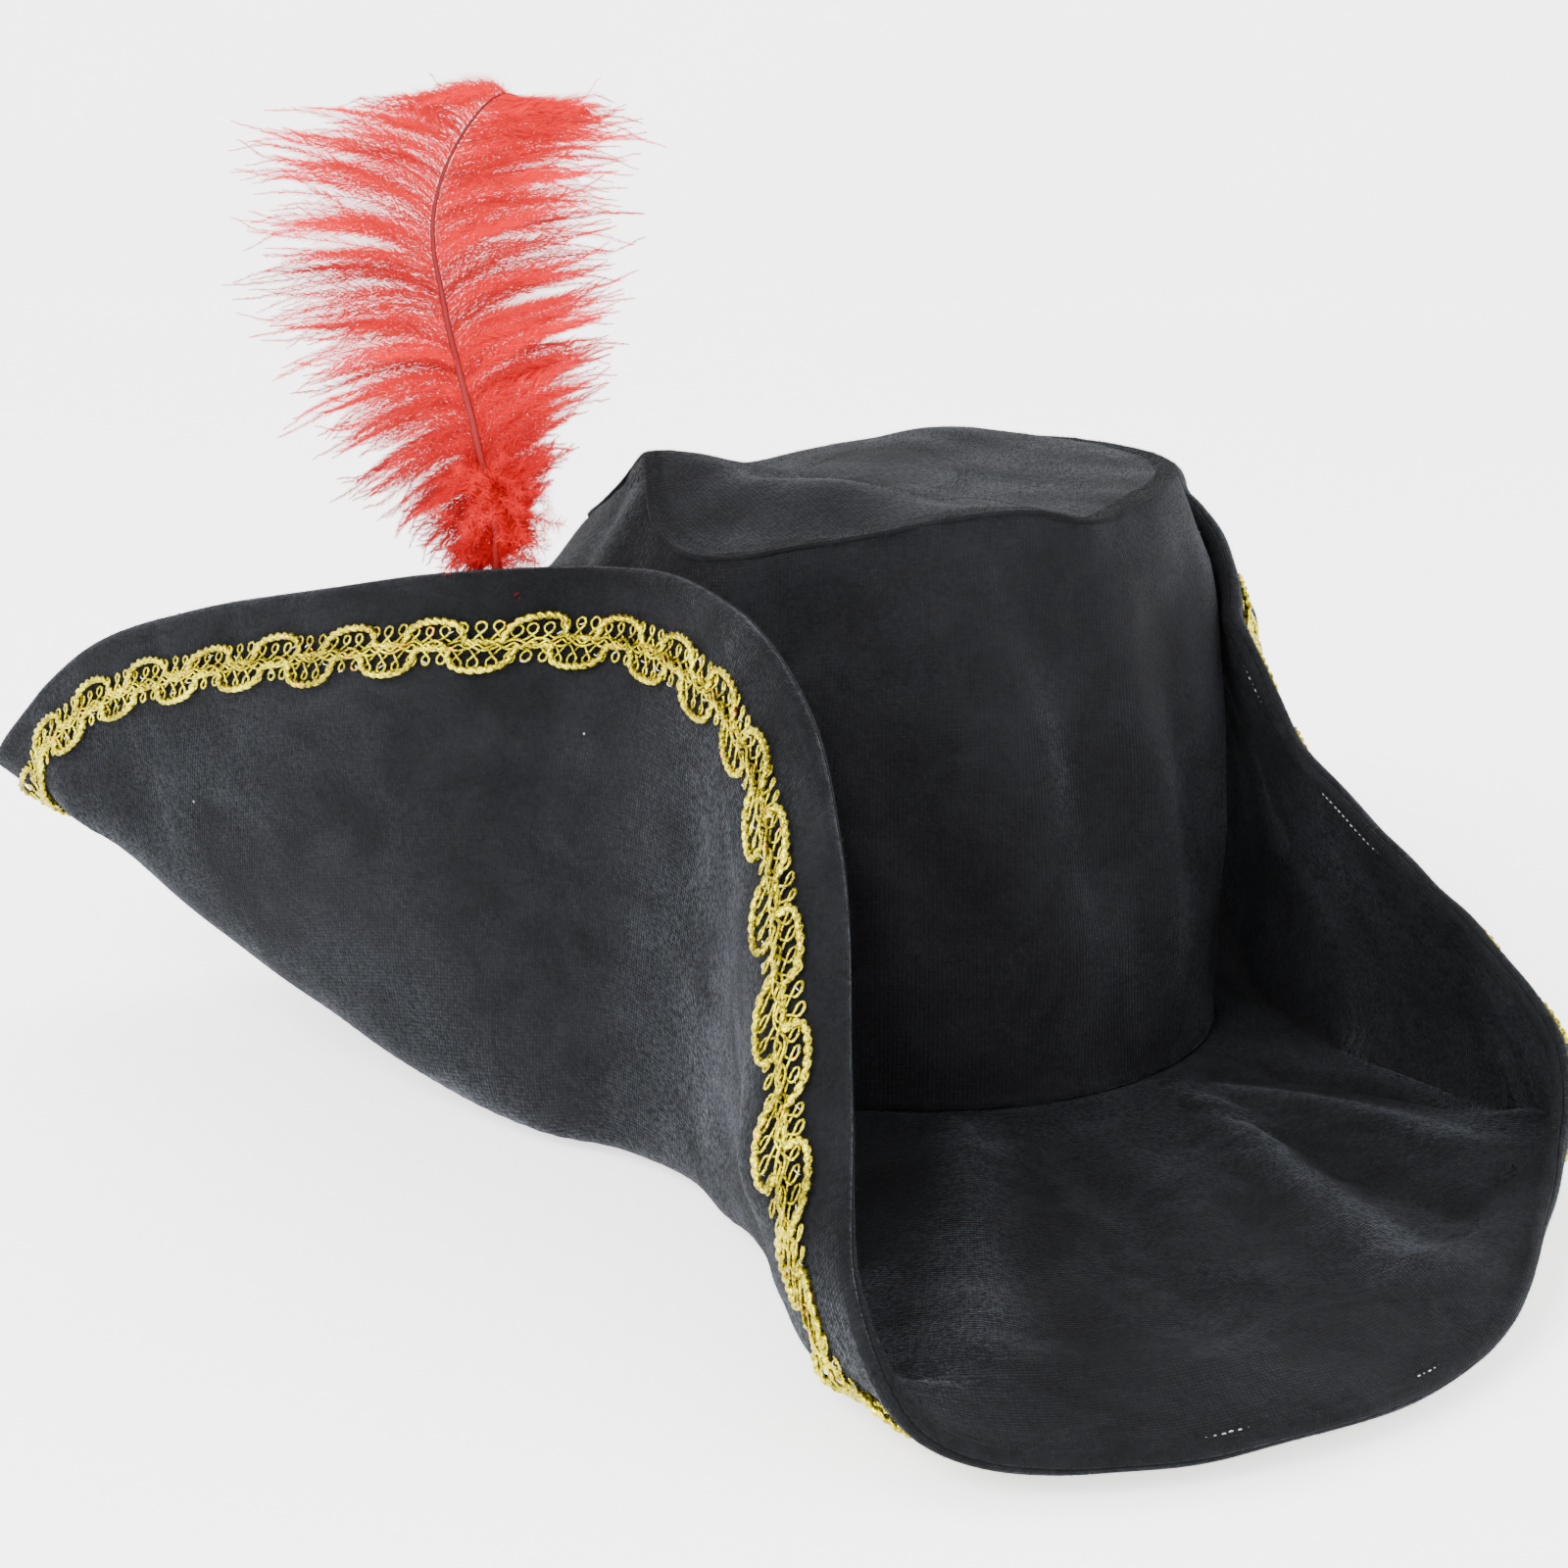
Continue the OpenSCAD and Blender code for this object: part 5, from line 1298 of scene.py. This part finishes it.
def down():
    """short curly barbs round the foot of the vane, some hanging over the flap's edge"""
    r = np.random.default_rng(200)
    count, n_seg = 110, 16
    zc_ = r.uniform(147, 172, count)
    i = np.searchsorted(zshaft, zc_)
    root = RACH[i]
    az = r.uniform(0, 2 * math.pi, count)
    length = r.uniform(8, 17, count) * (0.75 + 0.4 * smooth(zc_, 148, 165))
    elev = np.radians(r.normal(5, 28, count))
    d0 = np.stack([np.cos(az) * np.cos(elev), np.sin(az) * np.cos(elev) * 0.75, np.sin(elev)], -1)
    # to the plume's axes: wide across, shallower front to back
    d0 = unit(PX[None] * (d0[:, :1] * 1.25 + 0.25) + PY[None] * d0[:, 1:2] + np.array([[0, 0, 1.0]]) * d0[:, 2:3])
    s = np.linspace(0, 1, n_seg)
    curl = r.normal(0, 0.9, (count, 3))
    dirs = d0[:, None] + np.array([0, 0, -1.0]) * (s ** 1.5 * r.uniform(0.1, 1.0, count)[:, None])[..., None] + curl[:, None] * (s ** 2)[None, :, None] * 0.5
    dirs = unit(dirs)
    path = root[:, None] + np.concatenate([np.zeros((count, 1, 3)), np.cumsum(dirs[:, :-1] * (length / (n_seg - 1))[:, None, None], 1)], 1)
    rad = np.interp(s, [0, 0.2, 0.8, 1], [0.13, 0.11, 0.07, 0.03])[None].repeat(count, 0)
    pts, fs = tubes(path, rad, 3)
    fs = [q for q in fs if q.shape[1] == 4]
    per = 150
    tot = count * per
    who = np.repeat(np.arange(count), per)
    pos = r.uniform(0.02, 1, tot)
    x = pos * (n_seg - 1)
    k0 = np.clip(np.floor(x).astype(int), 0, n_seg - 2)
    fx = (x - k0)[:, None]
    pr = path[who, k0] * (1 - fx) + path[who, k0 + 1] * fx
    td = dirs[who, k0]
    out = unit(unit(np.cross(td, r.normal(size=(tot, 3)))) + td * 0.6)
    bl = r.uniform(1.6, 4.2, tot)
    p1 = pr + out * (bl * 0.5)[:, None]
    p2 = p1 + unit(out + r.normal(0, 0.5, (tot, 3))) * (bl * 0.5)[:, None]
    wv = unit(np.cross(out, r.normal(size=(tot, 3))))
    w0 = 0.055
    quad = np.stack([pr - wv * w0, pr + wv * w0, p1 + wv * w0 * 0.8, p1 - wv * w0 * 0.8, p2], 1)
    o = len(pts)
    ib = np.arange(tot) * 5 + o
    fq = np.stack([ib, ib + 1, ib + 2, ib + 3], -1)
    ft = np.stack([ib + 3, ib + 2, ib + 4], -1)
    tone = np.concatenate([np.full(len(pts), 0.4), np.repeat(0.4 + 0.15 * r.normal(size=tot), 5)])
    return np.concatenate([pts, quad.reshape(-1, 3)]), [fs[0], fq, ft], tone


pts, fs, tone = down()
dn = make("plume_base_down", pts, fs, RED_D, attr={"tone": np.clip(tone, 0, 1)})
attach(dn, "plume_lower"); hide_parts("base_down")

# thread loops that hold the quill to the flap
k = np.linspace(0, 2 * math.pi, 40, endpoint=False)
parts = []
for zt in (139.8, 142.0, 144.2):
    i = int(np.searchsorted(zshaft, zt))
    c = RACH[i]
    q, nq = nearest_brim(c)
    to = unit(q - nq * VOUT - c)
    to = unit(to * [1, 1, 0])
    sd_ = np.cross([0, 0, 1.0], to)
    gap = max(2.4, float(np.dot(q - nq * (VOUT - 0.5) - c, to)))
    line = c + to * np.where(np.cos(k) > 0, np.cos(k) * gap, np.cos(k) * 2.25)[:, None] + sd_ * (np.sin(k) * 2.25)[:, None] + np.array([0, 0, 1.0]) * (np.sin(k + zt) * 0.35)[:, None]
    parts.append(tubes(line[None], np.full((1, 40), 0.22), 6, closed=True))
qt = make("quill_tack_thread_loops", *join(parts), BLACK_TH)
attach(qt, "hat"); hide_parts("quill_tack_thread")


# ------------------------------------------------------------------ pile standing off the velvet
def pile(G, way, spots, seed, height):
    """short leaning fibres on a closed grid of points; spots is a list of (first row, last row, count)"""
    r = np.random.default_rng(seed)
    n = G.shape[0]
    a = np.roll(G, -1, 0) - np.roll(G, 1, 0)
    b = np.gradient(G, axis=1)
    nn = unit(np.cross(a, b)) * way
    tt = unit(b)
    base, nor, tan = [], [], []
    for r0, r1, count in spots:
        i = r.integers(0, n, count)
        fi = r.random(count)[:, None]
        y = r0 + (r1 - r0 - 0.01) * r.random(count)
        j = np.floor(y).astype(int)
        fj = (y - j)[:, None]
        i1, j1 = (i + 1) % n, np.minimum(j + 1, G.shape[1] - 1)
        for A, out in ((G, base), (nn, nor), (tt, tan)):
            out.append((A[i, j] * (1 - fi) + A[i1, j] * fi) * (1 - fj) + (A[i, j1] * (1 - fi) + A[i1, j1] * fi) * fj)
    base, nor, tan = (np.concatenate(v) for v in (base, nor, tan))
    count = len(base)
    lay = waves(base, 25, 70, seed + 1)[:, None]
    d = unit(nor + tan * (0.25 + 0.5 * lay) + r.normal(0, 0.30, (count, 3)))
    h = r.uniform(*height, count)[:, None]
    w = unit(np.cross(d, r.normal(size=(count, 3)))) * 0.045
    base = base - nor * 0.05
    tri = np.stack([base - w, base + w, base + d * h], 1)
    return tri.reshape(-1, 3), [np.arange(count * 3).reshape(-1, 3)]


FUZZ, ntf, bf = new_mat("pile_fibres")
tcf = node(ntf, "ShaderNodeTexCoord")
ntf.links.new(ramp(ntf, noise(ntf, tcf.outputs["Object"], 120, 3), [(0.3, (0.0015, 0.0016, 0.0018)), (0.7, (0.0085, 0.0090, 0.0104))]), bf.inputs["Base Color"])
bf.inputs["Roughness"].default_value = 0.75
bf.inputs["Specular IOR Level"].default_value = 0.12
bf.inputs["Sheen Weight"].default_value = 0.05


def way_of(G, ref):
    a = np.roll(G, -1, 0) - np.roll(G, 1, 0)
    b = np.gradient(G, axis=1)
    return 1.0 if float(np.sum(np.cross(a, b)[:, :ref.shape[1]] * ref)) > 0 else -1.0


for key, nm, seed in (("brim_upper_velvet_cloth", "brim_upper_pile", 300), ("brim_under_velvet_cloth", "brim_under_pile", 310)):
    G, ref, m = GRIDS[key]
    fz = make(nm, *pile(G, way_of(G, ref), [(m - 14, m + 4.9, 52000), (4, m - 14, 75000)], seed, (0.35, 0.80)), FUZZ, smooth_shade=False)
    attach(fz, "hat")
G = C1[:, 3:]
fz = make("crown_side_pile", *pile(G, way_of(G, NC0[:, 3:]), [(0, G.shape[1] - 1, 60000)], 320, (0.35, 0.80)), FUZZ, smooth_shade=False)
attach(fz, "hat")
G = tl[:, :NTK + 3]
fz = make("crown_tip_pile", *pile(G, way_of(G, np.broadcast_to([0, 0, 1.0], G[:, :NTK].shape)), [(26, 55, 9000), (55, NTK - 22, 23000), (NTK - 22, NTK + 2, 30000)], 330, (0.35, 0.75)), FUZZ, smooth_shade=False)
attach(fz, "hat")

# ------------------------------------------------------------------ floor, light, camera
fm, ntm, bm_ = new_mat("floor_white")
tcm = node(ntm, "ShaderNodeTexCoord")
fcol = ramp(ntm, noise(ntm, tcm.outputs["Object"], 3.0, 3), [(0.3, (0.90, 0.90, 0.90)), (0.7, (0.93, 0.93, 0.93))])
ntm.links.new(fcol, bm_.inputs["Base Color"])
ntm.links.new(fcol, bm_.inputs["Emission Color"])
bm_.inputs["Emission Strength"].default_value = 1.7
bm_.inputs["Roughness"].default_value = 0.9
prf = [(0.001, 0)] + [(x, 0) for x in np.linspace(0.2, 1.9, 10)] + [(1.9 + 0.9 * math.sin(a), 0.9 * (1 - math.cos(a))) for a in np.linspace(0.1, math.pi / 2, 12)] + [(2.8, 1.6), (2.8, 2.6)]
nf = 96
tf = np.arange(nf) * 2 * math.pi / nf
fp = np.stack([np.stack([r * np.cos(tf), r * np.sin(tf), np.full(nf, z)], -1) for r, z in prf], 1).reshape(-1, 3) * 1000
fp[:, 2] += 1.2
floor = make("floor", fp, [grid_faces(nf, len(prf), True, False, flip=True)], fm)
geo = node(ntm, "ShaderNodeNewGeometry")
clear = node(ntm, "ShaderNodeBsdfTransparent")
mixf = node(ntm, "ShaderNodeMixShader")
ntm.links.new(geo.outputs["Backfacing"], mixf.inputs[0])
ntm.links.new(bm_.outputs[0], mixf.inputs[1])
ntm.links.new(clear.outputs[0], mixf.inputs[2])
ntm.links.new(mixf.outputs[0], ntm.nodes["Material Output"].inputs["Surface"])
floor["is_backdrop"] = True

world = bpy.context.scene.world or bpy.data.worlds.new("World")
bpy.context.scene.world = world
world.use_nodes = True
world.node_tree.nodes["Background"].inputs[0].default_value = (1, 1, 1, 1)
world.node_tree.nodes["Background"].inputs[1].default_value = 0.9


def area(name, loc, target, size, power, col=(1, 1, 1)):
    l = bpy.data.lights.new(name, "AREA")
    l.shape = "RECTANGLE"
    l.size, l.size_y = size
    l.energy = power
    l.color = col
    o = bpy.data.objects.new(name, l)
    bpy.context.scene.collection.objects.link(o)
    o.location = loc
    o.rotation_euler = (Vector(target) - Vector(loc)).to_track_quat("-Z", "Y").to_euler()
    return o


area("key", (-1.15, -0.75, 1.15), (0, 0, 0.08), (0.8, 0.8), 44, (1.0, 0.99, 0.97))
area("top", (0.0, 0.6, 1.7), (0, 0, 0.1), (1.2, 1.0), 20)
area("right", (1.3, -0.9, 0.7), (0, 0, 0.08), (0.7, 0.9), 4, (0.95, 0.97, 1.0))

cam_d = bpy.data.cameras.new("camera")
cam_d.sensor_width = 36
cam_d.lens = 72
cam_d.clip_end = 30
cam = bpy.data.objects.new("camera", cam_d)
bpy.context.scene.collection.objects.link(cam)
cam.location = (-0.3667, -0.7272, 0.2930)
tgt = Vector((-0.0197, 0.0169, 0.0730))
cam.rotation_euler = (tgt - cam.location).to_track_quat("-Z", "Y").to_euler()
bpy.context.scene.camera = cam


def plain(b):
    if isinstance(b, dict):
        return {k: plain(v) for k, v in b.items()}
    if isinstance(b, (list, tuple)):
        return [plain(v) for v in b]
    try:
        return [float(v) for v in b]
    except TypeError:
        return float(b)


end_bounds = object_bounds()
{"frame": plain(rest_bounds), "visual": plain(end_bounds)}
